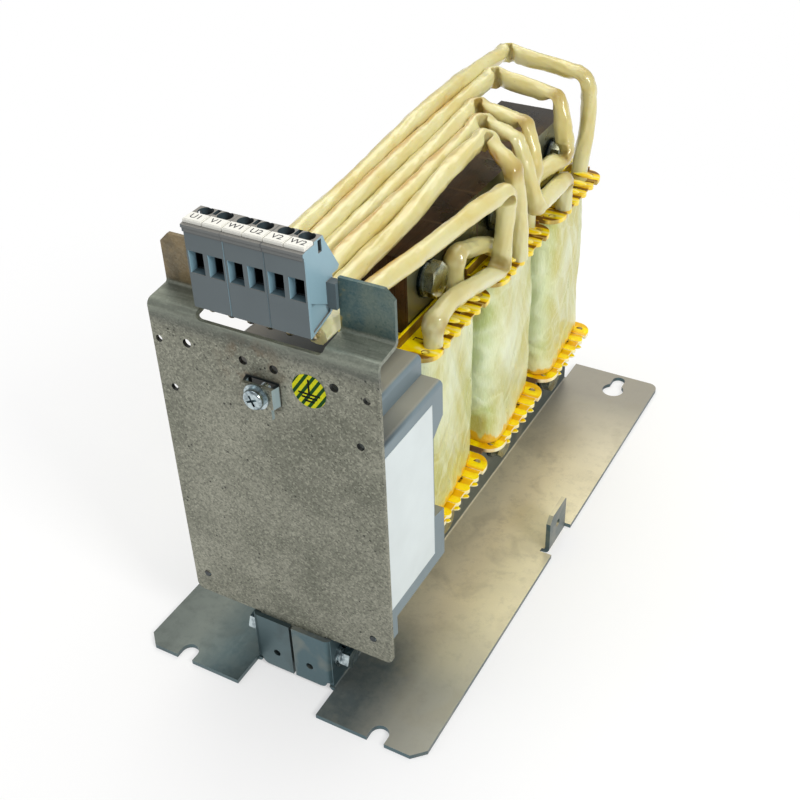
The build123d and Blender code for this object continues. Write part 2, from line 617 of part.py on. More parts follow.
with BuildPart() as plate:
    with BuildSketch(Plane.YZ.offset(-PLATE_HALF)):
        with BuildLine():
            Polyline((PLATE_FRONT, PLATE_LOW), (PLATE_FRONT, STEP_FRONT_Z),
                     (EAR_FRONT, STEP_REAR_Z), (EAR_FRONT, EAR_TOP), (EAR_BACK, EAR_TOP),
                     (EAR_BACK, STEP_REAR_Z - PLATE), (PLATE_BACK, STEP_FRONT_Z - PLATE),
                     (PLATE_BACK, PLATE_LOW), (PLATE_FRONT, PLATE_LOW))
        make_face()
    extrude(amount=2 * PLATE_HALF)
    fillet(bend_at(plate, PLATE_FRONT, STEP_FRONT_Z), PLATE_BEND_OUT)
    fillet(bend_at(plate, PLATE_BACK, STEP_FRONT_Z - PLATE), PLATE_BEND_IN)
    fillet(bend_at(plate, EAR_FRONT, STEP_REAR_Z), PLATE_BEND_IN)
    fillet(bend_at(plate, EAR_BACK, STEP_REAR_Z - PLATE), PLATE_BEND_OUT)
    low_corners = plate.edges().filter_by(Axis.Y).filter_by_position(
        Axis.Z, PLATE_LOW - 0.01, PLATE_LOW + 0.01)
    fillet(low_corners, PLATE_ROUND)
    ear_corners = plate.edges().filter_by(Axis.Y).filter_by_position(
        Axis.Z, EAR_TOP - 0.01, EAR_TOP + 0.01)
    chamfer(ear_corners, EAR_CUT)
    # cut-out for the terminal block and its wires
    with BuildSketch(Plane.XZ.offset(-EAR_BACK - 1)):
        with Locations((0, CUTOUT_LOW + CUTOUT_HEIGHT / 2)):
            RectangleRounded(2 * CUTOUT_HALF, CUTOUT_HEIGHT, CUTOUT_ROUND)
    extrude(amount=EAR_BACK - PLATE_FRONT + 2, mode=Mode.SUBTRACT)
    # tongue that runs down behind the end tabs, with a cheek on each side
    with BuildSketch(Plane.XZ.offset(-PLATE_FRONT)):
        with Locations((0, (STAY_LOW + PLATE_LOW) / 2 + 1)):
            Rectangle(2 * STAY_HALF, PLATE_LOW - STAY_LOW + 2)
    extrude(amount=-PLATE)
    for cheek_side in (-1, 1):
        with BuildSketch(Plane.YZ.offset(cheek_side * WALL_IN)):
            with Locations(((PLATE_FRONT + STAY_CHEEK_REAR) / 2, (STAY_LOW + STAY_CHEEK_TOP) / 2)):
                Rectangle(STAY_CHEEK_REAR - PLATE_FRONT, STAY_CHEEK_TOP - STAY_LOW)
            with Locations((STAY_SCREW_Y, STAY_SCREW_Z)):
                Circle(M5_R + SLIDE, mode=Mode.SUBTRACT)
        extrude(amount=-cheek_side * (WALL_IN - STAY_HALF))
        cheek_fold = plate.edges().filter_by(Axis.Z).sort_by_distance(
            (cheek_side * WALL_IN, PLATE_FRONT, (STAY_LOW + STAY_CHEEK_TOP) / 2))[0]
        fillet(cheek_fold, CHEEK_BEND)
    # round holes
    with BuildSketch(Plane.XZ.offset(-PLATE_FRONT)):
        for hole_side in (-1, 1):
            with Locations((HOLE_SHIFT + hole_side * HOLE_OUTER[0], HOLE_OUTER[1])):
                Circle(HOLE_OUTER[2])
            with Locations(*[(HOLE_SHIFT + hole_side * x, HOLE_ROW_Z) for x in HOLE_PAIR_X]):
                Circle(HOLE_PAIR_R)
            with Locations(*[(HOLE_SHIFT + hole_side * PEG_X, z) for z in PEG_Z]):
                Circle(PEG_R + SLIDE)
    extrude(amount=-PLATE, mode=Mode.SUBTRACT)
    # lanced opening behind the earth tab, and the tab itself
    with BuildSketch(Plane.XZ.offset(-PLATE_FRONT)):
        with Locations((0, (LUG_TOP + LUG_LOW) / 2)):
            Rectangle(2 * LUG_HALF - 2 * LUG_THICK, LUG_TOP - LUG_LOW)
    extrude(amount=-PLATE, mode=Mode.SUBTRACT)
    with BuildSketch(Plane.XY.offset(LUG_LOW)):
        with BuildLine():
            Polyline((-LUG_HALF, PLATE_FRONT), (-LUG_HALF + LUG_LEAN, LUG_FACE),
                     (LUG_HALF - LUG_LEAN, LUG_FACE), (LUG_HALF, PLATE_FRONT),
                     (LUG_HALF - LUG_THICK, PLATE_FRONT),
                     (LUG_HALF - LUG_LEAN - LUG_THICK / 2, LUG_FACE + LUG_THICK),
                     (-LUG_HALF + LUG_LEAN + LUG_THICK / 2, LUG_FACE + LUG_THICK),
                     (-LUG_HALF + LUG_THICK, PLATE_FRONT), (-LUG_HALF, PLATE_FRONT))
        make_face()
    extrude(amount=LUG_TOP - LUG_LOW)
    with BuildSketch(Plane.XZ.offset(-LUG_FACE)):
        with Locations((0, (LUG_FOOT + LUG_LOW) / 2 + 0.5)):
            Rectangle(2 * LUG_FOOT_HALF, LUG_LOW - LUG_FOOT + 1)
    extrude(amount=-LUG_THICK)
    with BuildSketch(Plane.XZ.offset(-LUG_FACE)):
        with Locations((0, LUG_SCREW_Z)):
            Circle(EARTH_R + SLIDE)
    extrude(amount=-LUG_THICK, mode=Mode.SUBTRACT)
save(plate.part, "front_plate")

with BuildPart() as sticker:
    with BuildSketch(Plane.XZ.offset(-PLATE_FRONT)):
        with Locations((STICKER_X, STICKER_Z)):
            Circle(STICKER_R)
    extrude(amount=STICKER_THICK)
save(sticker.part, "earth_sticker")

with BuildPart() as earth_screw:
    head_seat = LUG_FACE - EARTH_WASHER
    with BuildSketch(Plane.XZ.offset(-head_seat)):
        with Locations((0, LUG_SCREW_Z)):
            Circle(EARTH_HEAD_R)
    extrude(amount=EARTH_HEAD)
    rim = earth_screw.edges().filter_by(GeomType.CIRCLE).sort_by(Axis.Y)[0]
    fillet(rim, EARTH_HEAD_ROUND)
    with BuildSketch(Plane.XZ.offset(-head_seat + EARTH_HEAD)):
        with Locations((0, LUG_SCREW_Z)):
            Rectangle(RECESS_LENGTH, RECESS_WIDTH, rotation=25)
            Rectangle(RECESS_LENGTH, RECESS_WIDTH, rotation=115)
    extrude(amount=-RECESS_DEPTH, mode=Mode.SUBTRACT)
    with BuildSketch(Plane.XZ.offset(-head_seat)):
        with Locations((0, LUG_SCREW_Z)):
            Circle(EARTH_R)
    extrude(amount=-(EARTH_WASHER + LUG_THICK + EARTH_TIP))
save(earth_screw.part, "earth_screw")

with BuildPart() as earth_washer:
    with BuildSketch(Plane.XZ.offset(-LUG_FACE)):
        with Locations((0, LUG_SCREW_Z)):
            Circle(EARTH_WASHER_R)
            Circle(EARTH_R + SLIDE, mode=Mode.SUBTRACT)
    extrude(amount=EARTH_WASHER)
save(earth_washer.part, "earth_washer")

# screws that hold the plate's cheeks in the bracket walls
with BuildPart() as stay_screws:
    for way in (-1, 1):
        under = WALL_OUT + M5_FLAT + M5_SPRING
        with BuildSketch(along_x(way * under, STAY_SCREW_Y, STAY_SCREW_Z)):
            RegularPolygon(hexagon_r(M5_HEAD_AF), 6, rotation=STAY_HEAD_TURN)
        extrude(amount=way * M5_HEAD)
        end_x = STAY_HALF - M5_NUT - M5_TIP
        with BuildSketch(along_x(way * end_x, STAY_SCREW_Y, STAY_SCREW_Z)):
            Circle(M5_R)
        extrude(amount=way * (under - end_x))
save(stay_screws.part, "plate_screws")
rings([(way * WALL_OUT, STAY_SCREW_Y, STAY_SCREW_Z, way) for way in (-1, 1)],
      M5_FLAT_R, M5_R + SLIDE, M5_FLAT, "plate_flat_washers")
rings([(way * (WALL_OUT + M5_FLAT), STAY_SCREW_Y, STAY_SCREW_Z, way) for way in (-1, 1)],
      M5_SPRING_R, M5_R + SLIDE, M5_SPRING, "plate_spring_washers", split=True)
with BuildPart() as stay_nuts:
    for way in (-1, 1):
        with BuildSketch(along_x(way * STAY_HALF, STAY_SCREW_Y, STAY_SCREW_Z)):
            RegularPolygon(hexagon_r(M5_HEAD_AF), 6)
            Circle(M5_R + THREAD_PLAY, mode=Mode.SUBTRACT)
        extrude(amount=-way * M5_NUT)
save(stay_nuts.part, "plate_nuts")


# capacitor box
with BuildPart() as box:
    with BuildSketch(Plane.XZ.offset(-PLATE_BACK)):
        with Locations((0, (BOX_LOW + BOX_SHOULDER) / 2)):
            Rectangle(2 * BOX_HALF, BOX_SHOULDER - BOX_LOW)
        with Locations((0, (BOX_SHOULDER + BOX_TOP) / 2 - 1)):
            Rectangle(2 * BOX_TOP_HALF, BOX_TOP - BOX_SHOULDER + 2)
    extrude(amount=-(BOX_REAR - PLATE_BACK))
    # the rear is set back between the upper and lower edge, clear of the front winding
    with BuildSketch(Plane.YZ.offset(-BOX_HALF)):
        with BuildLine():
            Polyline((BOX_REAR, BOX_RECESS_LOW), (BOX_RECESS_REAR, BOX_RECESS_LOW + BOX_RECESS_SLOPE_LOW),
                     (BOX_RECESS_REAR, BOX_RECESS_HIGH - BOX_RECESS_SLOPE_HIGH), (BOX_REAR, BOX_RECESS_HIGH),
                     (BOX_REAR, BOX_RECESS_LOW))
        make_face()
    extrude(amount=2 * BOX_HALF, mode=Mode.SUBTRACT)
    # lower lip beside the plate
    with BuildSketch(Plane.XZ.offset(-PLATE_BACK)):
        with Locations((0, (BOX_LIP_LOW + BOX_LOW) / 2 + 0.5)):
            Rectangle(2 * BOX_HALF, BOX_LOW - BOX_LIP_LOW + 1)
    extrude(amount=-(BOX_LIP_REAR - PLATE_BACK))
    round_edges = box.edges().filter_by(Axis.Y).filter_by_position(
        Axis.Z, BOX_SHOULDER - 0.01, BOX_TOP + 0.01)
    outer_rounds = [e for e in round_edges
                    if abs(abs(e.center().X) - BOX_HALF) < 0.01 or e.center().Z > BOX_TOP - 0.01]
    fillet(outer_rounds, BOX_ROUND)
    # heat-staked pegs in the plate
    with BuildSketch(Plane.XZ.offset(-PLATE_BACK)):
        for peg_side in (-1, 1):
            with Locations((HOLE_SHIFT + peg_side * PEG_X, PEG_Z[0])):
                Circle(PEG_R)
    extrude(amount=PLATE + PEG_STAND)
save(box.part, "capacitor_box")

with BuildPart() as label:
    with BuildSketch(Plane.YZ.offset(BOX_HALF)):
        with Locations(((LABEL_FRONT + LABEL_REAR) / 2, (LABEL_LOW + LABEL_HIGH) / 2)):
            Rectangle(LABEL_REAR - LABEL_FRONT, LABEL_HIGH - LABEL_LOW)
    extrude(amount=LABEL_THICK)
save(label.part, "blank_label")


# terminal block
def module_profile():
    """Side outline of a terminal module in Y and Z."""
    Polyline((BLOCK_FRONT, BLOCK_LOW_FRONT), (BLOCK_FRONT, BLOCK_TOP - 4.2),
             (BLOCK_FRONT - 0.4, BLOCK_TOP - 3.9), (BLOCK_FRONT - 0.4, BLOCK_TOP - 2.7),
             (BLOCK_FRONT - 0.9, BLOCK_TOP - 2.3), (BLOCK_FRONT - 0.9, BLOCK_TOP - 1.2),
             (TAG_FRONT, BLOCK_TOP - 1.0), (TAG_FRONT, BLOCK_TOP - TAG_THICK),
             (TAG_FRONT + TAG_DEPTH, BLOCK_TOP - TAG_THICK), (TAG_FRONT + TAG_DEPTH, BLOCK_TOP),
             (BLOCK_FRONT + 10.5, BLOCK_TOP), (BLOCK_FRONT + 11.4, BLOCK_TOP - 2.2),
             (BLOCK_FRONT + 18.5, BLOCK_TOP - 14.3), (BLOCK_FRONT + 17.6, BLOCK_TOP - 15.5),
             (BLOCK_FRONT + 14.3, BLOCK_TOP - 15.5), (BLOCK_FRONT + 14.1, BLOCK_LOW_FRONT + 4.3),
             (BLOCK_LOW_REAR, BLOCK_LOW_FRONT + BLOCK_LOW_RISE),
             (BLOCK_FRONT, BLOCK_LOW_FRONT))


def terminal_module(index, name):
    """Two-pole module with funnel entries in front and screw holes on top."""
    left = BLOCK_X - BLOCK_HALF + index * MODULE_WIDTH
    poles = [left + POLE_PITCH / 2, left + 1.5 * POLE_PITCH]
    with BuildPart() as module:
        with BuildSketch(Plane.YZ.offset(left)):
            with BuildLine():
                module_profile()
            make_face()
        extrude(amount=MODULE_WIDTH)
        # shadow lines where modules meet and under the ledge
        upright = module.edges().filter_by(Axis.Z).filter_by_position(
            Axis.Y, BLOCK_FRONT - 0.01, BLOCK_FRONT + 0.01)
        chamfer(upright, 0.25)
        with BuildSketch(Plane.XZ.offset(-BLOCK_FRONT)):
            with Locations(*[(x, FUNNEL_Z) for x in poles]):
                Rectangle(FUNNEL_WIDTH, FUNNEL_HEIGHT)
        extrude(amount=-FUNNEL_DEPTH, taper=11, mode=Mode.SUBTRACT)
        with BuildSketch(Plane.XZ.offset(-BLOCK_FRONT)):
            with Locations(*[(x, FUNNEL_Z) for x in poles]):
                Rectangle(ENTRY_WIDTH, ENTRY_HEIGHT)
        extrude(amount=-ENTRY_DEPTH, mode=Mode.SUBTRACT)
        with BuildSketch(Plane.XY.offset(BLOCK_TOP)):
            with Locations(*[(x, SCREW_HOLE_Y) for x in poles]):
                Circle(SCREW_HOLE_R)
        extrude(amount=-SCREW_HOLE_DEPTH, mode=Mode.SUBTRACT)
        with BuildSketch(Plane.XY.offset(BLOCK_TOP)):
            with Locations((left + POLE_PITCH, SCREW_HOLE_Y + 0.9)):
                Rectangle(1.5, 3.4)
        extrude(amount=-1.6, mode=Mode.SUBTRACT)
        if index in (0, MODULES - 1):
            outer_way = -1 if index == 0 else 1
            side_x = BLOCK_X + outer_way * BLOCK_HALF
            # wedge-shaped pocket and slot in the outer side
            with BuildSketch(Plane.YZ.offset(side_x)):
                with BuildLine():
                    Polyline((BLOCK_FRONT + 1.5, BLOCK_LOW_FRONT + 12.2),
                             (BLOCK_FRONT + 12.7, BLOCK_LOW_FRONT + 6.0),
                             (BLOCK_FRONT + 11.4, BLOCK_LOW_FRONT + 3.8),
                             (BLOCK_FRONT + 1.5, BLOCK_LOW_FRONT + 1.3),
                             (BLOCK_FRONT + 1.5, BLOCK_LOW_FRONT + 12.2))
                make_face()
            extrude(amount=-outer_way * 0.7, mode=Mode.SUBTRACT)
            with BuildSketch(Plane.YZ.offset(side_x)):
                with Locations((BLOCK_FRONT + 8.5, BLOCK_TOP - 2.8)):
                    Rectangle(2.0, 4.4)
            extrude(amount=-outer_way * 1.3, mode=Mode.SUBTRACT)
            # clip that bears on the inner edge of the plate's ear
            with BuildSketch(Plane.YZ.offset(side_x)):
                with Locations(((CLIP_FRONT + CLIP_REAR) / 2, (CLIP_LOW + CLIP_HIGH) / 2)):
                    Rectangle(CLIP_REAR - CLIP_FRONT, CLIP_HIGH - CLIP_LOW)
            extrude(amount=outer_way * (CUTOUT_HALF - CLIP_PLAY - BLOCK_HALF) - BLOCK_X)
    save(module.part, name)


for module_index, module_side in enumerate(("left", "middle", "right")):
    terminal_module(module_index, f"terminal_module_{module_side}")

with BuildPart() as tags:
    with BuildSketch(Plane.XY.offset(BLOCK_TOP - TAG_THICK)):
        with Locations(*[(x, TAG_FRONT + TAG_DEPTH / 2) for x in POLE_X]):
            Rectangle(POLE_PITCH - TAG_GAP, TAG_DEPTH - 0.1)
    extrude(amount=TAG_THICK + 0.5)
save(tags.part, "marker_tags")

with BuildPart() as clamp_screws:
    with BuildSketch(Plane.XY.offset(BLOCK_TOP - SCREW_HOLE_DEPTH)):
        with Locations(*[(x, SCREW_HOLE_Y) for x in POLE_X]):
            Circle(CLAMP_SCREW_R)
    extrude(amount=CLAMP_SCREW)
    with BuildSketch(Plane.XY.offset(BLOCK_TOP - SCREW_HOLE_DEPTH + CLAMP_SCREW)):
        for x in POLE_X:
            with Locations((x, SCREW_HOLE_Y)):
                Rectangle(2 * CLAMP_SCREW_R + 1, 0.7, rotation=30 + 17 * x)
    extrude(amount=-0.9, mode=Mode.SUBTRACT)
save(clamp_screws.part, "clamp_screws")

# leads
# Each route is a list of points that the lead would pass if its bends were sharp. They
# were read off the photo, so they are given as places in the frame.
ROUTES = {
    "lead_u1": [(POLE_X[0], LEAD_END_Y, LEAD_END_Z + 0.4),
                (POLE_X[0], LEAD_END_Y + 8.6, LEAD_END_Z + 0.4), (-18.4, -60, 171.0), (-18.4, -20, 172.6),
                (-18.4, 42, 182.6), (-18.4, 113.5, 177.6),
                (21.0, 112.4, 173.0), (24.2, 112.0, 150.0), (24.0, 104.4, 133.5),
                (24.0, 104.4, LEAD_LAND)],
    "lead_v1": [(POLE_X[1], LEAD_END_Y, LEAD_END_Z + 0.2),
                (POLE_X[1], LEAD_END_Y + 8.6, LEAD_END_Z + 0.2), (-11.0, -58, 169.4),
                (-11.0, -10, 173.0), (-11.0, 83.0, 177.6), (21.6, 83, 173.4), (27.6, 76.8, 149.4),
                (20.2, 61.0, 147.4), (20.2, 54.0, 142.0), (21.2, 51.6, 134.0),
                (21.2, 51.6, LEAD_LAND)],
    "lead_w1": [(POLE_X[2], LEAD_END_Y, LEAD_END_Z),
                (POLE_X[2], LEAD_END_Y + 10.6, LEAD_END_Z), (-3.7, -24, 168.4),
                (-3.7, 51, 177.0), (19.4, 51, 172.6), (26.2, 45.0, 161.0), (25.8, 45.6, 152.0),
                (20.9, 44.0, 137.6), (21.1, 36.6, 130.2), (21.1, 19.5, 130.2), (20.8, 9.0, 141.6),
                (20.6, -12.8, 143.8), (21.3, -18.6, 132.0), (21.3, -18.6, LEAD_LAND)],
    "lead_u2": [(POLE_X[3], LEAD_END_Y, LEAD_END_Z),
                (POLE_X[3], LEAD_END_Y + 8.6, LEAD_END_Z), (3.7, -66, 169.6),
                (3.7, -18, 171.4), (3.7, 40, 175.6), (20.0, 40, 171.6), (27.0, 36.8, 157.0),
                (30.2, 38.6, 141.2), (28.6, 75.2, 141.2), (28.6, 75.2, LEAD_LAND)],
    "lead_v2": [(POLE_X[4], LEAD_END_Y, LEAD_END_Z - 0.2),
                (POLE_X[4], LEAD_END_Y + 8.6, LEAD_END_Z - 0.2), (11.0, -70, 167.2),
                (11.0, -34, 168.6), (11.0, -2, 174.8), (11.0, 27.6, 175.6), (27.0, 21.8, 167.2),
                (29.4, 25.2, 142.0), (29.4, 25.2, LEAD_LAND)],
    "lead_w2": [(POLE_X[5] + 1.4, LEAD_END_Y - 8.4, LEAD_END_Z + 0.6),
                (POLE_X[5] + 1.4, LEAD_END_Y + 6.6, LEAD_END_Z + 0.6), (24.2, -40, 164.0),
                (28.6, 13.2, 163.2), (29.4, 7.0, 130.6), (28.9, -36, 138.8), (27.2, -48.4, 136.4),
                (27.2, -48.4, LEAD_LAND)],
}


def bends(points):
    """Bend radius at each inner point: tight at a folded turn, wide at a gentle one."""
    runs = [Vector(*after) - Vector(*here) for here, after in zip(points, points[1:])]
    room = [run.length for run in runs]
    room[0] *= 2           # the end runs have a bend at one end only
    room[-1] *= 2
    radii = []
    for i in range(len(runs) - 1):
        turn = runs[i].get_angle(runs[i + 1])
        share, cap = (FOLD_SHARE, FOLD_RADIUS) if turn > FOLD_TURN else (BEND_SHARE, SWEEP_RADIUS)
        radii.append(min(cap, share * min(room[i], room[i + 1]) / tan(radians(turn) / 2)))
    return radii


def lead(name, points):
    """A sleeved winding lead, swept along its route."""
    radii = bends(points)
    with BuildPart() as body:
        with BuildLine() as path:
            FilletPolyline(*points, radius=radii)
        route = path.wire()
        with BuildSketch(Plane(origin=route @ 0, z_dir=route % 0)):
            Circle(LEAD_R)
        sweep(path=route)
    length = route.length
    share = body.part.volume / (pi * LEAD_R ** 2 * length)
    print(f"{name}: length {length:.1f} mm, radii {[round(r, 1) for r in radii]}, "
          f"volume / (section x length) {share:.4f}")
    save(body.part, name)


for lead_name, lead_points in ROUTES.items():
    lead(lead_name, lead_points)

# bare ends of the leads, bent up to the underside of the terminal modules
with BuildPart() as tails:
    for lead_points in ROUTES.values():
        sleeve_end = lead_points[0]
        x = sleeve_end[0]
        underside = BLOCK_LOW_FRONT + UNDERSIDE_SLOPE * (TAIL_Y - TAIL_R - BLOCK_FRONT)
        with BuildLine() as tail_path:
            FilletPolyline(sleeve_end, (x, TAIL_Y, sleeve_end[2]), (x, TAIL_Y, underside),
                           radius=TAIL_BEND)
        tail_route = tail_path.wire()
        with BuildSketch(Plane(origin=tail_route @ 0, z_dir=tail_route % 0)):
            Circle(TAIL_R)
        sweep(path=tail_route)
save(tails.part, "lead_tails")
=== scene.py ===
"""Looks of the sine wave filter: sleeved leads, taped windings, moulded bobbins, laminated
core, sheet metal, terminal block, stage and camera, laid out as an add-on."""
import math

import bmesh
import bpy
from bpy.props import FloatProperty, FloatVectorProperty, IntProperty, PointerProperty
from mathutils import Matrix, Vector, noise


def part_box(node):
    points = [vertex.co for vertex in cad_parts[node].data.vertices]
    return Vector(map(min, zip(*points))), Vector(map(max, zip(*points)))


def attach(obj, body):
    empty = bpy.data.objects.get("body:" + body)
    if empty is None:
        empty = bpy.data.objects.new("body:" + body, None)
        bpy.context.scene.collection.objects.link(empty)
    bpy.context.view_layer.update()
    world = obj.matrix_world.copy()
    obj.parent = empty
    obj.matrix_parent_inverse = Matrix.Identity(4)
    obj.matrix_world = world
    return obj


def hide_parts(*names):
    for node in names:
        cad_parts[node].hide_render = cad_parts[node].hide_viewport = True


bl_info = {
    "name": "Sine wave filter looks",
    "version": (1, 0, 0),
    "blender": (4, 5, 0),
    "location": "View3D > Sidebar > Filter",
    "description": "Builds the looks of a sine wave filter around its packed model",
    "category": "Object",
}

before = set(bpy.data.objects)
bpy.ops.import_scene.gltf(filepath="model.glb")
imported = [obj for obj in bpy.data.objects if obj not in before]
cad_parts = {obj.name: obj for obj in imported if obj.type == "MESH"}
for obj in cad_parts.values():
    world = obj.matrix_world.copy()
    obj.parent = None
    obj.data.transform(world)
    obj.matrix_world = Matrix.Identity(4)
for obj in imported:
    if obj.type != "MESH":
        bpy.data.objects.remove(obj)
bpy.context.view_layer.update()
MM = 0.001
PLACES = ("front", "middle", "rear")


# nodes
class Field:
    """A number, vector or colour in a node tree. Sums and products of fields add nodes."""

    def __init__(self, tree, socket):
        self.tree, self.socket = tree, socket

    def maths(self, operation, *others, **named):
        """A Math node, or a Vector Math node where this field is a vector."""
        spatial = self.socket.type == "VECTOR"
        output = "Vector" if spatial and operation not in ("DOT_PRODUCT", "LENGTH") else "Value"
        return field(self.tree, "ShaderNodeVectorMath" if spatial else "ShaderNodeMath", output,
                     {**dict(enumerate((self, *others))), **named}, operation=operation)

    def __add__(self, other):
        return self.maths("ADD", other)

    def __sub__(self, other):
        return self.maths("SUBTRACT", other)

    def __rsub__(self, other):
        return self.maths("MULTIPLY_ADD", -1.0, other)

    def __mul__(self, other):
        if self.socket.type == "VECTOR":
            return self.maths("SCALE", Scale=other)
        return self.maths("MULTIPLY", other)

    def __abs__(self):
        return self.maths("ABSOLUTE")

    def ramp(self, low, high, out_low=0.0, out_high=1.0):
        """Maps the number from low..high to out_low..out_high, clamped."""
        return field(self.tree, "ShaderNodeMapRange", "Result",
                     {"Value": self, "From Min": low, "From Max": high,
                      "To Min": out_low, "To Max": out_high})

    def window(self, start, full, fading, end):
        """1 from full to fading, 0 before start and after end."""
        return self.ramp(start, full) * self.ramp(end, fading)

    def split(self):
        """The three parts of a vector."""
        parts = add_node(self.tree, "ShaderNodeSeparateXYZ", {0: self}).outputs
        return [Field(self.tree, part) for part in parts]


def add_node(tree, kind, inputs=(), **settings):
    """Adds a node. inputs maps a socket's name or number to a value, a socket or a field."""
    made = tree.nodes.new(kind)
    for key, value in settings.items():
        setattr(made, key, value)
    for key, value in dict(inputs).items():
        if isinstance(value, Field):
            value = value.socket
        if isinstance(value, bpy.types.NodeSocket):
            tree.links.new(value, made.inputs[key])
        else:
            made.inputs[key].default_value = value
    return made


def field(tree, kind, output, inputs=(), **settings):
    """Adds a node and returns one of its outputs."""
    return Field(tree, add_node(tree, kind, inputs, **settings).outputs[output])


def stretched(place, scale, turn=(0, 0, 0)):
    """The place, scaled and turned for a pattern that runs one way."""
    return field(place.tree, "ShaderNodeMapping", "Vector",
                 {"Vector": place, "Scale": scale, "Rotation": turn})


def grain(place, scale, detail=3.0, rough=0.55, warp=0.0):
    """Noise from 0 to 1 at so many features per metre."""
    return field(place.tree, "ShaderNodeTexNoise", "Fac",
                 {"Vector": place, "Scale": scale, "Detail": detail, "Roughness": rough,
                  "Distortion": warp})


def spots(place, scale, size, soft=0.15):
    """Round spots: 1 in a spot, 0 outside. size is a share of the cell."""
    cells = field(place.tree, "ShaderNodeTexVoronoi", "Distance",
                  {"Vector": place, "Scale": scale, "Randomness": 1.0})
    return cells.ramp(size, size * (1 - soft))


MIX_A, MIX_B, MIX_RESULT = 6, 7, 2     # the colour sockets of a Mix node


def blend(share, low, high):
    """Mixes two colours, each a value or a field."""
    low, high = (colour if isinstance(colour, Field) else (*colour, 1.0)
                 for colour in (low, high))
    return field(share.tree, "ShaderNodeMix", MIX_RESULT,
                 {"Factor": share, MIX_A: low, MIX_B: high}, data_type="RGBA")


def tinted(colour, *shares):
    """The colour times one share, or times a share for each channel."""
    return [channel * share for channel, share in zip(colour, shares * 3)]


class Finish:
    """A material in the making: the place on the piece, where it looks and its tone so far."""

    def __init__(self, name, **sockets):
        """sockets are the constant values of the shader's own sockets."""
        self.material = bpy.data.materials.new(name)
        self.material.use_nodes = True
        self.tree = self.material.node_tree
        self.shader = self.tree.nodes["Principled BSDF"]
        for key, value in sockets.items():
            self.shader.inputs[key.replace("_", " ")].default_value = value
        coordinates = add_node(self.tree, "ShaderNodeTexCoord").outputs
        self.place = Field(self.tree, coordinates["Object"])
        self.look = Field(self.tree, coordinates["Normal"])

    def mark(self, name):
        """A number that the mesh stores for each vertex."""
        return field(self.tree, "ShaderNodeAttribute", "Fac", attribute_name=name)

    def coat(self, share, colour):
        """Lays a colour over the tone where the share is high."""
        self.tone = blend(share, self.tone, colour)

    def done(self, relief=None, strength=0.0, distance=0.0, **varying):
        """Links the tone, fine relief on the modelled shape and the sockets that vary."""
        varying["Base Color"] = self.tone
        if relief is not None:
            varying["Normal"] = field(
                self.tree, "ShaderNodeBump", "Normal",
                {"Height": relief, "Strength": strength, "Distance": distance})
        for key, value in varying.items():
            self.tree.links.new(value.socket, self.shader.inputs[key])
        return self.material


def new_tree(name, sockets):
    """A Geometry Nodes tree with named inputs. Returns it and its inputs as fields."""
    tree = bpy.data.node_groups.new(name, "GeometryNodeTree")
    tree.interface.new_socket("Geometry", in_out="OUTPUT", socket_type="NodeSocketGeometry")
    for label, kind, value in [("Geometry", "Geometry", None), *sockets,
                               ("Finish", "Material", None)]:
        made = tree.interface.new_socket(label, in_out="INPUT", socket_type="NodeSocket" + kind)
        if value is not None:
            made.default_value = value
    given = tree.nodes.new("NodeGroupInput").outputs
    return tree, {socket.name: Field(tree, socket) for socket in given}


def close_tree(tree, shape, finish):
    """Ends a Geometry Nodes tree with real geometry that has its finish."""
    real = field(tree, "GeometryNodeRealizeInstances", 0, {"Geometry": shape})
    dressed = field(tree, "GeometryNodeSetMaterial", 0, {"Geometry": real, "Material": finish})
    add_node(tree, "NodeGroupOutput", {0: dressed})
    return tree


def run_tree(worker, tree, values):
    """Adds the tree as a modifier and sets its inputs by their identifiers."""
    modifier = worker.modifiers.new(tree.name, "NODES")
    modifier.node_group = tree
    for item in tree.interface.items_tree:
        if item.item_type == "SOCKET" and item.in_out == "INPUT" and item.name in values:
            modifier[item.identifier] = values[item.name]


# objects
def object_from(name, data):
    """Adds an object with a mesh, curve, lamp or camera."""
    made = bpy.data.objects.new(name, data)
    bpy.context.scene.collection.objects.link(made)
    return made


def object_of(name, work, finish=None):
    """Makes an object of a bmesh, which is used up."""
    mesh = bpy.data.meshes.new(name)
    work.to_mesh(mesh)
    work.free()
    if finish:
        mesh.materials.append(finish)
    return object_from(name, mesh)


def plain_mesh(worker, name):
    """Turns an object's evaluated shape into a plain mesh object and drops the worker."""
    bpy.context.view_layer.update()
    seen = worker.evaluated_get(bpy.context.evaluated_depsgraph_get())
    mesh = bpy.data.meshes.new_from_object(seen)
    source = worker.data
    store = bpy.data.curves if isinstance(source, bpy.types.Curve) else bpy.data.meshes
    bpy.data.objects.remove(worker)
    if source.users == 0:
        store.remove(source)
    mesh.name = name
    return object_from(name, mesh)


def add_block(work, low, high):
    """Adds a box between two corners to a bmesh."""
    for vertex in bmesh.ops.create_cube(work, size=1.0)["verts"]:
        vertex.co = Vector([(low, high)[vertex.co[axis] > 0][axis] for axis in range(3)])


def middle_of(node):
    """The middle of a CAD node's box."""
    return sum(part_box(node), Vector()) / 2


def dress(material, *nodes):
    """Gives CAD nodes a material in place of their plain one."""
    for name in nodes:
        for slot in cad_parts[name].material_slots:
            slot.material = material


def seat(piece, slot, *nodes):
    """The piece rides on the part and stands for CAD nodes, which it hides; slot is not used."""
    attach(piece, "root")
    if nodes:
        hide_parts(*nodes)


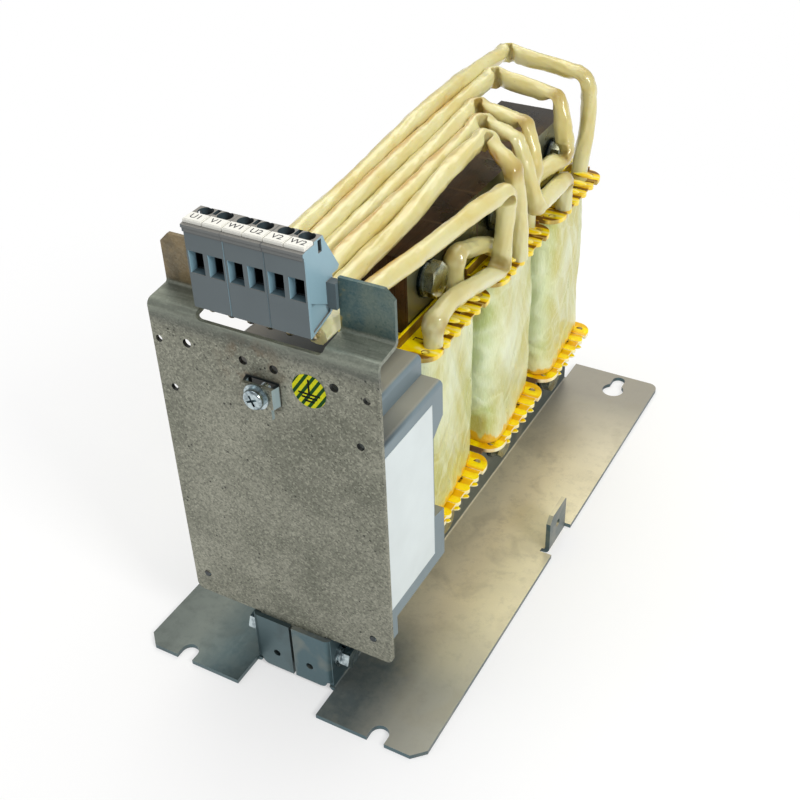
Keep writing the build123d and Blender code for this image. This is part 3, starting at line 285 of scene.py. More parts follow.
# sizes and colours that a user would change
class LeadSettings(bpy.types.PropertyGroup):
    radius: FloatProperty(name="Radius", description="Radius of a sleeved lead",
                          default=3.80 * MM, unit="LENGTH")
    crease: FloatProperty(name="Crease", description="How far a fold closes the sleeve",
                          default=0.82, min=0.0, max=1.0, subtype="FACTOR")
    wrinkle: FloatProperty(name="Wrinkle", description="Height of the small dents",
                           default=0.75 * MM, unit="LENGTH")
    spacing: FloatProperty(name="Ring spacing", description="Distance between rings of the mesh",
                           default=0.7 * MM, unit="LENGTH")
    colour: FloatVectorProperty(name="Colour", description="Cream of the sleeves",
                                default=(0.70, 0.65, 0.315), subtype="COLOR")


class WindingSettings(bpy.types.PropertyGroup):
    bulge: FloatProperty(name="Bulge", description="How far the flat sides swell",
                         default=0.5 * MM, unit="LENGTH")
    crumple: FloatProperty(name="Crumple", description="Height of the creases in the tape",
                           default=1.9 * MM, unit="LENGTH")
    colour: FloatVectorProperty(name="Colour", description="Cream of the tape",
                                default=(0.57, 0.53, 0.14), subtype="COLOR")


class BobbinSettings(bpy.types.PropertyGroup):
    rounding: FloatProperty(name="Rounding", description="Rounding of the moulding's edges",
                            default=0.3 * MM, unit="LENGTH")
    colour: FloatVectorProperty(name="Colour", description="Amber of the moulding",
                                default=(1.0, 0.80, 0.001), subtype="COLOR")


class CoreSettings(bpy.types.PropertyGroup):
    sheets: IntProperty(name="Sheets", description="Sheets in the stack", default=63, min=8)
    unevenness: FloatProperty(name="Unevenness", description="How far sheets stand out of line",
                              default=0.06 * MM, unit="LENGTH")
    seed: IntProperty(name="Seed", description="Pattern of the unevenness", default=4)


class LetterSettings(bpy.types.PropertyGroup):
    height: FloatProperty(name="Height", description="Height of the terminal letters",
                          default=2.6 * MM, unit="LENGTH")
    colour: FloatVectorProperty(name="Colour", description="Ink of the letters",
                                default=(0.03, 0.03, 0.035), subtype="COLOR")


class StageSettings(bpy.types.PropertyGroup):
    key_power: FloatProperty(name="Key light", description="Power of the lamp on the right",
                             default=11.0, unit="POWER")
    top_power: FloatProperty(name="Top light", description="Power of the lamp overhead",
                             default=13.0, unit="POWER")
    fill_power: FloatProperty(name="Fill light", description="Power of the lamp on the left",
                              default=3.0, unit="POWER")
    sheen_power: FloatProperty(name="Sheen light", description="Power of the panel behind",
                               default=3.2, unit="POWER")
    ambient: FloatProperty(name="Ambient", description="Brightness of the surroundings",
                           default=0.45, min=0.0)
    floor: FloatVectorProperty(name="Floor", description="Colour of the floor",
                               default=(0.93, 0.93, 0.93), subtype="COLOR")


class FilterSettings(bpy.types.PropertyGroup):
    leads: PointerProperty(type=LeadSettings)
    windings: PointerProperty(type=WindingSettings)
    bobbins: PointerProperty(type=BobbinSettings)
    core: PointerProperty(type=CoreSettings)
    letters: PointerProperty(type=LetterSettings)
    stage: PointerProperty(type=StageSettings)


# finishes
PLATE_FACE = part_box("front_plate")[0].y + 3.7 * MM   # the plate's face behind its earth bridge
BRIDGE = middle_of("earth_washer")
EAR_FOOT = 0.1655                # level at which the plate's ears begin
HOLE_LEVELS = (0.0310, 0.1575)   # levels between which the walls of the plate's holes are dark
HOLE_REACH = 0.0436              # and how far to each side
PAIR_PITCH = 15.2 * MM           # from a lead to the next but one
STRIPE_PITCH = 2.45 * MM
MOTTLE = 0.58                    # how far the plate's grain goes from its two colours


def sleeve_finish(colour):
    """Cream sleeves, paler at the block and low down, with painted amber light and shade between
    neighbours and painted amber shade in the folds.
    """
    paint = Finish("sleeve_cream", Roughness=0.3, Coat_Weight=0.8, Coat_Roughness=0.05,
                   Subsurface_Weight=0.2, Subsurface_Scale=0.004,
                   Subsurface_Radius=(1.0, 0.7, 0.15))
    across, depth, level = paint.place.split()
    cloudy = grain(paint.place, 60.0)
    pale = tinted(colour, 0.96, 1.04, 1.25)
    paint.tone = blend(cloudy.ramp(0.38, 0.66), colour, tinted(colour, 0.95, 0.87, 0.66))
    paint.coat(level.ramp(0.150, 0.128) * 0.75, pale)
    paint.coat(depth.ramp(-0.090, -0.100) * 0.7, pale)
    # painted light and shade: amber that neighbours throw at each other, on the flanks that face
    # -X, at the second and the fourth lead more
    turn = (across + 0.0120) * (2 * math.pi / PAIR_PITCH)
    flank = paint.look.split()[0].ramp(0.22, -0.36)
    run = level.ramp(0.156, 0.164) * depth.ramp(0.075, 0.035)
    uneven = turn.maths("COSINE").ramp(-0.3, 0.6, 0.25, 1.0) * cloudy.ramp(0.34, 0.6, 0.55, 0.95)
    paint.coat(flank * run * uneven, (0.62, 0.33, 0.055))
    # painted amber shade in the folds
    paint.coat(paint.mark("fold") * cloudy.ramp(0.40, 0.58, 0.1, 0.85), (0.40, 0.27, 0.05))
    paint.coat(spots(paint.place, 230.0, 0.09) * 0.3, (0.42, 0.30, 0.14))
    return paint.done(grain(paint.place, 900.0, 2.0), 0.12, 0.3 * MM)


def tape_finish(colour):
    """Glass tape soaked in resin: white fibre, green and yellow stains, amber foot, painted
    highlights on its puffs, painted shade in its hollows and on its ends, painted light on its
    front and back.
    """
    paint = Finish("coil_tape", Coat_Weight=0.35, Coat_Roughness=0.18, Subsurface_Weight=0.15,
                   Subsurface_Scale=0.003, Subsurface_Radius=(1.0, 0.8, 0.3))
    place, puff = paint.place, paint.mark("puff")
    look_x, _, look_z = paint.look.split()
    stain = grain(stretched(place, (1.0, 1.0, 0.35), (0.35, 0.1, 0.0)), 60.0, 5.0, 0.6, 0.6)
    cloud = grain(place, 34.0)
    fibre = grain(stretched(place, (1.0, 1.0, 0.25), (0.5, 0.3, 0.0)), 1300.0, 3.0, 0.7)
    # painted light: the faces that look to the front and back get a paler, greener copy of the
    # colour than the sides
    paint.tone = blend(abs(look_x).ramp(0.5, 0.9), tinted(colour, 1.07, 1.34, 2.3), colour)
    # painted light on the crumpled tape: pale where it puffs out and darker in its hollows; the
    # stains, clouds and fibre are the tape's own
    for pattern, start, full, share, tint in (
            (stain, 0.44, 0.64, 0.75, (0.50, 0.54, 0.17)),
            (cloud, 0.52, 0.68, 0.70, (0.58, 0.60, 0.30)),
            (puff, 0.50, 0.92, 0.75, (0.84, 0.92, 0.70)),
            (puff, 0.28, 0.05, 0.70, (0.50, 0.46, 0.10)),
            (fibre, 0.48, 0.75, 0.35, (0.86, 0.90, 0.66)),
            (fibre, 0.45, 0.25, 0.25, (0.46, 0.47, 0.18))):
        paint.coat(pattern.ramp(start, full, 0.0, share), tint)
    # straight creases that slant over the sides, one way and the other, with painted pale
    # highlights along them
    relief = fibre * 0.35
    for turn, scale in (((0.75, 0.5, 0.15), 60.0), ((-0.95, 0.9, -0.1), 42.0)):
        tilted = stretched(stretched(place, (1.0, 1.0, 1.0), turn), (1.0, 1.0, 0.28))
        pleat = grain(tilted, scale, 2.0, 0.4)
        relief = relief + abs(pleat - 0.5).ramp(0.0, 0.09, 0.0, 0.5)
        paint.coat(pleat.ramp(0.505, 0.52) * pleat.ramp(0.56, 0.53, 0.0, 0.20),
                   (0.84, 0.88, 0.60))
    # resin stands in drips at the foot
    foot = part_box("winding_front")[0].z
    drips = grain(stretched(place, (1.0, 1.0, 0.15)), 260.0)
    soaked = drips.ramp(0.40, 0.72, foot + 3.4 * MM, foot + 7.5 * MM) - place.split()[2]
    paint.coat(soaked.ramp(-12.0 * MM, 0.0) * 0.35, (0.78, 0.66, 0.16))
    paint.coat(soaked.ramp(0.0, 1.2 * MM) * 0.92, (0.86, 0.50, 0.008))
    # painted shadow: the ends that face up and down, under the combs, are dark brown
    paint.coat(abs(look_z).ramp(0.75, 0.95), (0.16, 0.06, 0.012))
    return paint.done(relief, 0.55, 1.3 * MM, Roughness=stain.ramp(0.35, 0.7, 0.50, 0.24))


def resin_finish(colour):
    """Amber moulding: painted orange shade in the hollows, painted highlights on the fingers,
    cream on the bottom flange's edges.
    """
    paint = Finish("bobbin_resin", Roughness=0.35, Coat_Weight=0.4, Coat_Roughness=0.04,
                   Specular_IOR_Level=0.1, Subsurface_Weight=0.05, Subsurface_Scale=0.002,
                   Subsurface_Radius=(1.0, 0.8, 0.1))
    across, depth, level = paint.place.split()
    _, look_y, look_z = paint.look.split()
    runs = grain(paint.place, 150.0, 3.0, 0.55, 0.4)
    paint.tone = blend(runs.ramp(0.44, 0.70), colour, (0.95, 0.62, 0.001))
    # painted light on the combs: a pale highlight along the crest of each upper finger, painted
    # amber shade in the gaps and a painted dark brown shadow in the upper gaps
    middle = middle_of("bobbin_front").y
    half = (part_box("bobbin_middle")[0].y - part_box("bobbin_front")[0].y) / 2
    half_row = (FINGER_ROWS[1] - FINGER_ROWS[0]) / 2
    local = depth.maths("WRAP", middle + half, middle - half) - middle
    beside = abs((local + half_row).maths("WRAP", half_row, -half_row))
    beside = beside + runs.ramp(0.3, 0.7, -0.3 * MM, 0.5 * MM)
    reach = abs(across)
    comb, lofty = reach.ramp(0.0215, 0.0235), level.ramp(0.080, 0.090)
    paint.coat(beside.ramp(1.2 * MM, 0.4 * MM) * lofty * comb * 0.6, (0.95, 0.88, 0.36))
    gap = beside.ramp(1.9 * MM, 3.1 * MM) * comb
    paint.coat(gap * 0.7, (0.78, 0.36, 0.001))
    paint.coat(gap * lofty * beside.ramp(2.6 * MM, 3.6 * MM) * 0.85, (0.10, 0.030, 0.003))
    # upright edges: cream on the outer lip, and a painted dark shade at the root beside the core
    upright, bottom = abs(look_z).ramp(0.72, 0.35), level.ramp(0.060, 0.050)
    outer = reach.ramp(0.0275, 0.0305).maths("MAXIMUM", look_y.ramp(-0.55, -0.8))
    lip = upright * runs.ramp(0.30, 0.66, 1.0, 0.55) * outer
    paint.coat(lip * bottom, (0.97, 0.94, 0.70))
    paint.coat(lip * (1.0 - bottom) * 0.6, (0.90, 0.72, 0.22))
    paint.coat(upright * reach.ramp(0.0275, 0.0255) * 0.9, (0.12, 0.035, 0.004))
    return paint.done(grain(paint.place, 420.0), 0.3, 0.5 * MM)


def core_finish():
    """Dark oxide on the edges of the sheets, brassy metal on the stack's outer faces."""
    paint = Finish("core_steel", Coat_Weight=0.12, Coat_Roughness=0.1, Specular_IOR_Level=0.3)
    cloud = grain(paint.place, 45.0, 4.0, 0.6)
    streak = grain(stretched(paint.place, (1.0, 0.15, 1.0)), 700.0)
    depth = paint.place.split()[1]
    side = abs(paint.look.split()[0]).ramp(0.6, 0.9)
    brassy = blend(cloud.ramp(0.35, 0.65), (0.24, 0.22, 0.10), (0.42, 0.40, 0.22))
    brassy = blend(depth.ramp(-0.078, -0.040) * 0.8, brassy, (0.10, 0.105, 0.06))
    paint.tone = blend(cloud.ramp(0.35, 0.7), (0.022, 0.011, 0.005), (0.115, 0.050, 0.014))
    paint.coat(streak.ramp(0.45, 0.75, 0.0, 0.5), (0.010, 0.007, 0.004))
    paint.coat(depth.ramp(0.075, 0.095) * 0.8, (0.030, 0.029, 0.024))
    paint.coat(side, brassy)
    return paint.done(cloud, 0.15, 0.6 * MM, Metallic=side * 0.85,
                      Roughness=cloud.ramp(0.3, 0.7, 0.22, 0.4))


def zinc_coats(paint, fine, light, dark):
    """Zinc on steel: crystals of about a millimetre, pale glints and dark pores."""
    place = paint.place
    crystals = field(paint.tree, "ShaderNodeTexVoronoi", "Color",
                     {"Vector": place, "Scale": 1500.0})
    tint = field(paint.tree, "ShaderNodeSeparateColor", 0, {0: crystals})
    paint.coat(tint.ramp(0.45, 1.0, 0.0, MOTTLE), tinted(dark, 0.42))
    paint.coat(tint.ramp(0.30, 0.0, 0.0, MOTTLE), tinted(light, 1.3))
    paint.coat(fine.ramp(0.52, 0.70, 0.0, MOTTLE), tinted(dark, 0.5))
    pores = spots(place, 300.0, 0.17, 0.5) * grain(place, 70.0).ramp(0.46, 0.60)
    pits = spots(place, 560.0, 0.20, 0.5) * grain(place, 120.0).ramp(0.44, 0.56, 0.0, 0.75)
    paint.coat(pores.maths("MAXIMUM", pits) * 0.95, (0.02, 0.02, 0.016))


def plate_finish(light, dark):
    """The front plate: mottled olive grey, a tan left ear, a blue-grey right ear, rust marks."""
    paint = Finish("zinc_plate", Metallic=0.55)
    place = paint.place
    across, depth, level = place.split()
    look_x, look_y, _ = paint.look.split()
    cloud, fine = grain(place, 26.0, 4.0, 0.6, 0.3), grain(place, 760.0, 4.0, 0.75)
    blotch = grain(place, 110.0, 3.0, 0.6)
    paint.tone = blend(cloud.ramp(0.36, 0.66), light, dark)
    zinc_coats(paint, fine, light, dark)
    ear = level.ramp(EAR_FOOT, EAR_FOOT + 2.0 * MM)
    right = ear * across.ramp(0.020, 0.022)
    tan = blend(blotch.ramp(0.40, 0.62), (0.29, 0.195, 0.080), (0.125, 0.085, 0.036))
    blue = blend(blotch.ramp(0.40, 0.60), (0.026, 0.090, 0.105), (0.082, 0.135, 0.120))
    paint.coat(ear * across.ramp(-0.020, -0.024) * 0.72, tan)
    paint.coat(right * 0.80, blue)
    paint.coat(right * across.ramp(0.0300, 0.0255) * blotch.ramp(0.50, 0.60), (0.36, 0.27, 0.06))
    # the folds get a smooth, paler band as a painted highlight, dark streaks and a painted dark
    # line of shade on their underside
    below = level.ramp(EAR_FOOT + 1.7 * MM, EAR_FOOT)
    streak = grain(stretched(place, (0.12, 1.0, 1.0)), 420.0).ramp(0.46, 0.60)
    paint.coat(level.ramp(0.158, 0.161) * below * 0.7, (0.235, 0.265, 0.215))
    paint.coat(streak * level.ramp(0.1540, 0.1575) * below * 0.4, (0.075, 0.078, 0.062))
    paint.coat(level.window(0.1545, 0.1585, 0.1590, 0.1625) * 0.55, (0.07, 0.08, 0.07))
    # rust round the earth screw
    spread = place - (BRIDGE.x - 4.0 * MM, PLATE_FACE, BRIDGE.z + 6.0 * MM)
    near = spread.maths("LENGTH").ramp(17.0 * MM, 6.0 * MM)
    on_face = depth.ramp(PLATE_FACE - 0.4 * MM, PLATE_FACE - 0.2 * MM)
    paint.coat(near * blotch.ramp(0.46, 0.60) * on_face * 0.5, (0.16, 0.085, 0.035))
    # painted shade: the slot behind the earth bridge is painted dark, and so are the walls of the
    # plate's holes
    slot = (abs(across - BRIDGE.x).ramp(7.2 * MM, 6.6 * MM)
            * abs(level - BRIDGE.z).ramp(5.2 * MM, 4.4 * MM)
            * depth.ramp(PLATE_FACE - 2.6 * MM, PLATE_FACE - 2.1 * MM))
    paint.coat(slot * 0.93, (0.008, 0.018, 0.024))
    hole = (abs(look_y).ramp(0.6, 0.4) * abs(across).ramp(HOLE_REACH + 0.6 * MM, HOLE_REACH)
            * level.window(HOLE_LEVELS[0] - 1.0 * MM, *HOLE_LEVELS, HOLE_LEVELS[1] + 1.0 * MM)
            * on_face)
    paint.coat(hole * 0.95, (0.006, 0.008, 0.008))
    # the bridge's right flank catches the light
    flank = look_x.ramp(0.2, 0.6) * depth.ramp(PLATE_FACE - 0.4 * MM, PLATE_FACE - 0.8 * MM)
    paint.coat(flank * 0.85, (0.46, 0.60, 0.64))
    return paint.done(fine, 0.3, 0.2 * MM, Roughness=cloud.ramp(0.3, 0.7, 0.38, 0.5))


def bracket_finish(name, light, dark, wall, wall_share, tab, metallic, painted_shades):
    """The base brackets: rolled zinc, smoother than the plate, with painted shade and reflection:
    cooler, darker upright faces and darker tones along the depth.
    """
    paint = Finish(name, Metallic=metallic)
    place = paint.place
    across, depth, _ = place.split()
    _, look_y, look_z = paint.look.split()
    cloud = grain(place, 16.0, 4.0, 0.6, 0.3)
    small = grain(place, 240.0, 4.0, 0.65)
    fine = grain(place, 1500.0, 3.0, 0.7)
    rubbed = grain(stretched(place, (1.0, 0.05, 1.0), (0, 0, 0.35)), 900.0, 3.0, 0.7)
    paint.tone = blend(cloud.ramp(0.36, 0.66), light, dark)
    paint.coat(small.ramp(0.50, 0.74, 0.0, 0.35), tinted(dark, 0.6))
    paint.coat(fine.ramp(0.52, 0.8, 0.0, 0.2), tinted(light, 1.3))
    # painted shade: darker tones over ranges of depth, on the right bracket at the rear and at the
    # front
    for start, end, share, shade in painted_shades:
        paint.coat(depth.ramp(start, end, 0.0, share), shade)
    # a painted deep teal shadow where the front of the flange meets the wall
    corner = abs(across).ramp(0.047, 0.031, 0.0, 0.75) * depth.ramp(-0.072, -0.098)
    paint.coat(corner * small.ramp(0.3, 0.6, 0.8, 1.0), (0.035, 0.070, 0.085))
    # painted shade and reflection: upright faces and faces that look to the front or back take
    # darker, cooler tones
    paint.coat(abs(look_z).ramp(0.75, 0.25) * wall_share, wall)
    paint.coat(abs(look_y).ramp(0.6, 0.9) * 0.85, tab)
    dull = grain(place, 55.0, 3.0, 0.6, 0.5).ramp(0.55, 0.68, 0.0, 0.3)
    paint.coat(dull, tinted(dark, 0.55))
    rough = cloud.ramp(0.3, 0.7, 0.30, 0.42) + rubbed.ramp(0.4, 0.7, 0.0, 0.08)
    return paint.done(fine, 0.1, 0.2 * MM, Roughness=rough)


def plastic_finish(name, colour, gloss, top_tone, side, lit_side_share, marks):
    """Moulded plastic: fine spark texture, a painted lit tone on the right side, a lighter,
    browner tone on top.
    marks adds what only this piece has."""
    paint = Finish(name, Specular_IOR_Level=0.45)
    cloud = grain(paint.place, 30.0)
    look_x, _, look_z = paint.look.split()
    paint.tone = blend(cloud.ramp(0.3, 0.7), tinted(colour, 1.05), tinted(colour, 0.92))
    # painted light: faces that look to the right take the lit side's tone
    paint.coat(look_x.ramp(0.35, 0.8) * lit_side_share, side)
    # a lighter, browner tone on the faces that look up
    paint.coat(look_z.ramp(0.8, 0.97) * 0.8, top_tone)
    marks(paint)
    return paint.done(grain(paint.place, 2600.0, 2.0, 0.6), 0.10, 0.2 * MM,
                      Roughness=cloud.ramp(0.3, 0.7, gloss - 0.04, gloss + 0.06))


def box_painted_shade(paint):
    """Painted shade: the box is painted dark where it stands against the plate and under the
    terminal block.
    """
    across, depth, _ = paint.place.split()
    _, look_y, look_z = paint.look.split()
    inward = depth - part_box("capacitor_box")[0].y
    upward = look_z.ramp(0.3, 0.7)
    paint.coat(look_y.ramp(-0.6, -0.85) * 0.9, (0.012, 0.013, 0.013))
    paint.coat(upward * inward.ramp(0.030, 0.010) * 0.8, (0.035, 0.048, 0.054))
    seen = across.window(-0.044, -0.040, 0.020, 0.028) * inward.ramp(0.056, 0.046)
    paint.coat(seen * upward, blend(across.ramp(-0.030, -0.014), (0.120, 0.112, 0.092),
                                    (0.010, 0.016, 0.019)))


def block_seams_and_painted_shade(paint):
    """Dark seams between the modules, with painted shade and light: dark wells under the screws,
    bluer walls and black depths in the wire entries.
    """
    front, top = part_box("terminal_module_left")[0].y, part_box("terminal_module_left")[1].z
    seams = [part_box("terminal_module_" + which)[0].x for which in ("middle", "right")]
    width = seams[1] - seams[0]
    start, end = seams[0] - width, seams[1] + width
    across, depth, level = paint.place.split()
    _, look_y, look_z = paint.look.split()
    inward, height = depth - front, level - top
    body = across.window(start + 0.4 * MM, start + 0.8 * MM, end - 0.8 * MM, end - 0.4 * MM)
    # painted shade: the walls of the wells under the screws are dark
    well = (abs(look_z).ramp(0.6, 0.3) * look_y.ramp(0.95, 0.85) * body
            * height.ramp(-12.0 * MM, -10.5 * MM) * inward.ramp(5.5 * MM, 6.2 * MM))
    paint.coat(well * 0.85, (0.030, 0.036, 0.040))
    # painted light and shade in the wire entries: bluer walls, a greyer blue where they face up
    # and black deep inside
    entry = (inward.window(1.0 * MM, 1.4 * MM, 10.6 * MM, 11.2 * MM) * body
             * height.window(-22.0 * MM, -20.5 * MM, -9.5 * MM, -7.5 * MM))
    paint.coat(entry * 0.35, (0.070, 0.170, 0.240))
    paint.coat(entry * look_z.ramp(0.25, 0.45), (0.085, 0.130, 0.150))
    paint.coat(entry * inward.ramp(3.4 * MM, 3.9 * MM), (0.003, 0.004, 0.005))
    # the ledge under the tags is lighter and browner, with painted dark lines of shade along its
    # steps
    ledge = inward.ramp(1.2 * MM, 1.0 * MM) * height.ramp(-4.5 * MM, -4.2 * MM) * body
    paint.coat(ledge * 0.6, (0.17, 0.165, 0.150))
    for step in (2.5 * MM, 4.1 * MM):
        line = abs(height + step).ramp(0.32 * MM, 0.16 * MM, 0.0, 0.8)
        paint.coat(line * ledge, (0.035, 0.040, 0.042))
    paint.coat(across.ramp(end + 0.2 * MM, end + 0.4 * MM, 0.0, 0.8), (0.095, 0.120, 0.130))
    for seam, share in zip(seams, (0.3, 0.65)):
        off = abs(across - (seam - 0.1 * MM))
        paint.coat(off.ramp(0.34 * MM, 0.22 * MM, 0.0, share), (0.045, 0.055, 0.060))


def screw_finish(name, light, dark, rough, stain=0.0):
    """Plated steel of the screws and washers, with dull patches."""
    paint = Finish(name, Metallic=1.0)
    patch = grain(paint.place, 420.0, 4.0, 0.6)
    paint.tone = blend(patch.ramp(0.40, 0.68), light, dark)
    if stain:
        varnish = grain(paint.place, 130.0, 2.0).ramp(0.45, 0.6, 0.0, stain)
        paint.coat(varnish, (0.42, 0.33, 0.08))
    return paint.done(patch, 0.1, 0.2 * MM, Roughness=patch.ramp(0.3, 0.7, rough, rough + 0.16))


def paper_finish(name, colour, rough):
    """Paper, label film or white plastic with a slight sheen."""
    paint = Finish(name, Coat_Weight=0.15)
    fine = grain(paint.place, 1800.0, 3.0, 0.6)
    cloud = grain(paint.place, 60.0, 2.0)
    paint.tone = blend(cloud.ramp(0.3, 0.7), colour, tinted(colour, 0.93))
    return paint.done(fine, 0.06, 0.1 * MM,
                      Roughness=fine.ramp(0.3, 0.7, rough - 0.05, rough + 0.05))


def sticker_finish():
    """Slanting dark green stripes on yellow film."""
    paint = Finish("earth_sticker_film", Roughness=0.5, Specular_IOR_Level=0.12)
    slant = stretched(paint.place, (1.0, 1.0, 1.0), (0.0, -0.61, 0.0)).split()[0]
    wave = (slant * (2 * math.pi / STRIPE_PITCH)).maths("SINE")
    wear = grain(paint.place, 1200.0)
    paint.tone = blend(wear.ramp(0.4, 0.7), (0.66, 0.66, 0.006), (0.50, 0.50, 0.006))
    paint.coat(wave.ramp(-0.02, 0.18), (0.002, 0.055, 0.006))
    return paint.done(grain(paint.place, 900.0), 0.08, 0.2 * MM)


def ink_finish(name, colour):
    """Printing ink, worn a little."""
    paint = Finish(name, Roughness=0.6, Specular_IOR_Level=0.1)
    wear = grain(paint.place, 1400.0)
    paint.tone = blend(wear.ramp(0.45, 0.75), colour, tinted(colour, 3.0))
    return paint.done()


def floor_finish(colour):
    """Pale floor whose picture goes over to plain white away from the part."""
    paint = Finish("studio_floor", Roughness=0.9)
    tree = paint.tree
    paint.tone = blend(grain(paint.place, 6.0), colour, tinted(colour, 0.985))
    rays = add_node(tree, "ShaderNodeLightPath").outputs
    mirrored = Field(tree, rays["Is Glossy Ray"]).maths("MAXIMUM", rays["Is Transmission Ray"])
    seen = mirrored.maths("MAXIMUM", rays["Is Camera Ray"])
    away = paint.place.maths("LENGTH").ramp(0.15, 0.38, 0.45, 1.0)
    white = add_node(tree, "ShaderNodeEmission", {"Color": (1, 1, 1, 1), "Strength": 1.0})
    mixed = add_node(tree, "ShaderNodeMixShader",
                     {0: seen * away, 1: paint.shader.outputs[0], 2: white.outputs[0]})
    tree.links.new(mixed.outputs[0], tree.nodes["Material Output"].inputs["Surface"])
    return paint.done()


# leads
# The points of each lead's smooth line, in millimetres. A fold has two points close together.
ROUTES = {
    "lead_u1": [
        (-20.45, -103.6, 164.8), (-20.45, -95, 164.8), (-18.4, -60, 171.0), (-18.4, -20, 172.6),
        (-18.4, 42, 180.6), (-18.4, 107.0, 178.2), (-18.0, 112.6, 177.4), (-13.0, 113.0, 177.0),
        (14.0, 112.6, 173.8), (21.4, 112.3, 171.6), (24.0, 112.0, 163.0), (24.2, 110.5, 145.0),
        (24.0, 104.8, 134.5), (24.0, 104.4, 125.9)],
    "lead_v1": [
        (-12.83, -103.6, 164.6), (-12.83, -95, 164.6), (-11.0, -58, 169.4), (-11.2, -10, 174.1),
        (-11.2, 76.0, 177.9), (-10.6, 82.2, 177.4), (-5.0, 83.0, 177.0), (15.0, 83.0, 174.2),
        (21.6, 82.6, 171.6), (25.6, 79.4, 158.0), (27.4, 76.9, 151.4), (25.6, 73.0, 149.0),
        (20.6, 61.0, 147.0), (20.2, 54.0, 142.0), (21.2, 51.6, 134.0), (21.2, 51.6, 125.9)],
    "lead_w1": [
        (-5.21, -103.6, 164.4), (-5.21, -93, 164.4), (-4.0, -24, 170.2), (-3.7, 44.6, 176.4),
        (-3.2, 50.4, 176.8), (2.0, 51.0, 176.2), (15.0, 51.0, 173.6), (20.4, 50.4, 171.6),
        (26.0, 45.6, 160.0), (25.8, 45.2, 152.0), (21.2, 44.0, 138.6), (21.0, 40.6, 132.6),
        (21.1, 34.6, 130.2), (21.1, 19.5, 130.2), (20.8, 11.5, 137.6), (20.6, -9.0, 144.8),
        (20.6, -14.6, 146.0), (20.9, -18.0, 143.0), (21.3, -19.0, 132.0), (21.3, -18.6, 125.9)],
    "lead_u2": [
        (2.41, -103.6, 164.4), (2.41, -95, 164.4), (3.7, -66, 169.6), (3.7, -18, 171.4),
        (3.7, 34.0, 174.8), (4.2, 39.6, 175.2), (9.4, 40.0, 174.2), (17.4, 40.0, 172.2),
        (21.4, 39.4, 169.0), (27.0, 36.8, 157.0), (29.8, 38.2, 144.6), (29.9, 42.8, 141.4),
        (28.8, 70.4, 141.2), (28.6, 74.9, 138.0), (28.6, 75.2, 125.9)],
    "lead_v2": [
        (10.03, -103.6, 164.2), (10.03, -95, 164.2), (11.0, -70, 167.2), (11.0, -34, 168.6),
        (11.0, -2, 174.4), (11.2, 22.4, 175.4), (12.6, 26.6, 174.8), (17.2, 25.2, 172.6),
        (25.6, 22.4, 168.2), (27.6, 22.4, 163.0), (29.4, 25.0, 144.0), (29.4, 25.2, 125.9)],
    "lead_w2": [
        (19.05, -112.0, 165.0), (19.05, -97.0, 165.0), (24.2, -40, 164.0), (28.2, 7.6, 163.4),
        (28.8, 12.2, 160.6), (29.2, 10.8, 154.0), (29.4, 8.0, 136.0), (29.4, 4.6, 131.0),
        (29.3, -2.4, 131.8), (28.9, -32.0, 138.4), (28.6, -38.4, 139.0), (27.4, -46.6, 135.8),
        (27.2, -48.4, 132.0), (27.2, -48.4, 125.9)],
}
TIGHT_BEND = 220.0     # curvature, in 1/m, at which a sleeve is fully folded
EASY_BEND = 55.0       # curvature at which it starts to flatten
SMEARS = (("fold", 2.4 * MM), ("flat", 8.0 * MM))   # how far a fold and its flattening reach
# shares of the radius by which a sleeve gives way where it lies flat and where it is folded
FLAT_INNER, FLAT_OUTER, FLAT_WIDER = 0.12, 0.13, 0.14
FOLD_OUTER, FOLD_WIDER = 0.30, 0.10


def lead_line(name, points):
    """The lead's smooth line, read from a spline through its points."""
    curve = bpy.data.curves.new(name + "_line", "CURVE")
    curve.dimensions = "3D"
    spline = curve.splines.new("NURBS")
    spline.points.add(len(points) - 1)
    for point, place in zip(spline.points, points):
        point.co = (*(value * MM for value in place), 1.0)
    spline.order_u = 3
    spline.use_endpoint_u = True
    curve.resolution_u = 16
    return plain_mesh(object_from(name + "_line", curve), name + "_line")


def mark_folds(mesh):
    """Stores at each sample how far the sleeve is folded and which way the bend looks."""
    places = [vertex.co.copy() for vertex in mesh.vertices]
    count = len(places)
    bends = [Vector((0, 0, 0))] * count
    for i in range(1, count - 1):
        before, after = places[i] - places[i - 1], places[i + 1] - places[i]
        step = (before.length + after.length) / 2
        if step > 0:
            bends[i] = (after.normalized() - before.normalized()) / step
    folds = [min(max((bend.length - EASY_BEND) / (TIGHT_BEND - EASY_BEND), 0.0), 1.0)
             for bend in bends]
    run = [0.0]
    for before, after in zip(places, places[1:]):
        run.append(run[-1] + (after - before).length)
    ways = [bend.normalized() if bend.length > 1.0 else None for bend in bends]
    for order in (range(count), range(count - 1, -1, -1)):
        last = None
        for i in order:
            if ways[i] is None:
                ways[i] = last
            last = ways[i] if folds[i] > 0 or last is None else last
    for name, reach in SMEARS:
        row = mesh.attributes.new(name, "FLOAT", "POINT")
        for i in range(count):
            row.data[i].value = max(folds[j] * math.exp(-((run[i] - run[j]) / reach) ** 2)
                                    for j in range(count))
    row = mesh.attributes.new("inward", "FLOAT_VECTOR", "POINT")
    for i in range(count):
        row.data[i].vector = ways[i] or Vector((0, 0, 1))


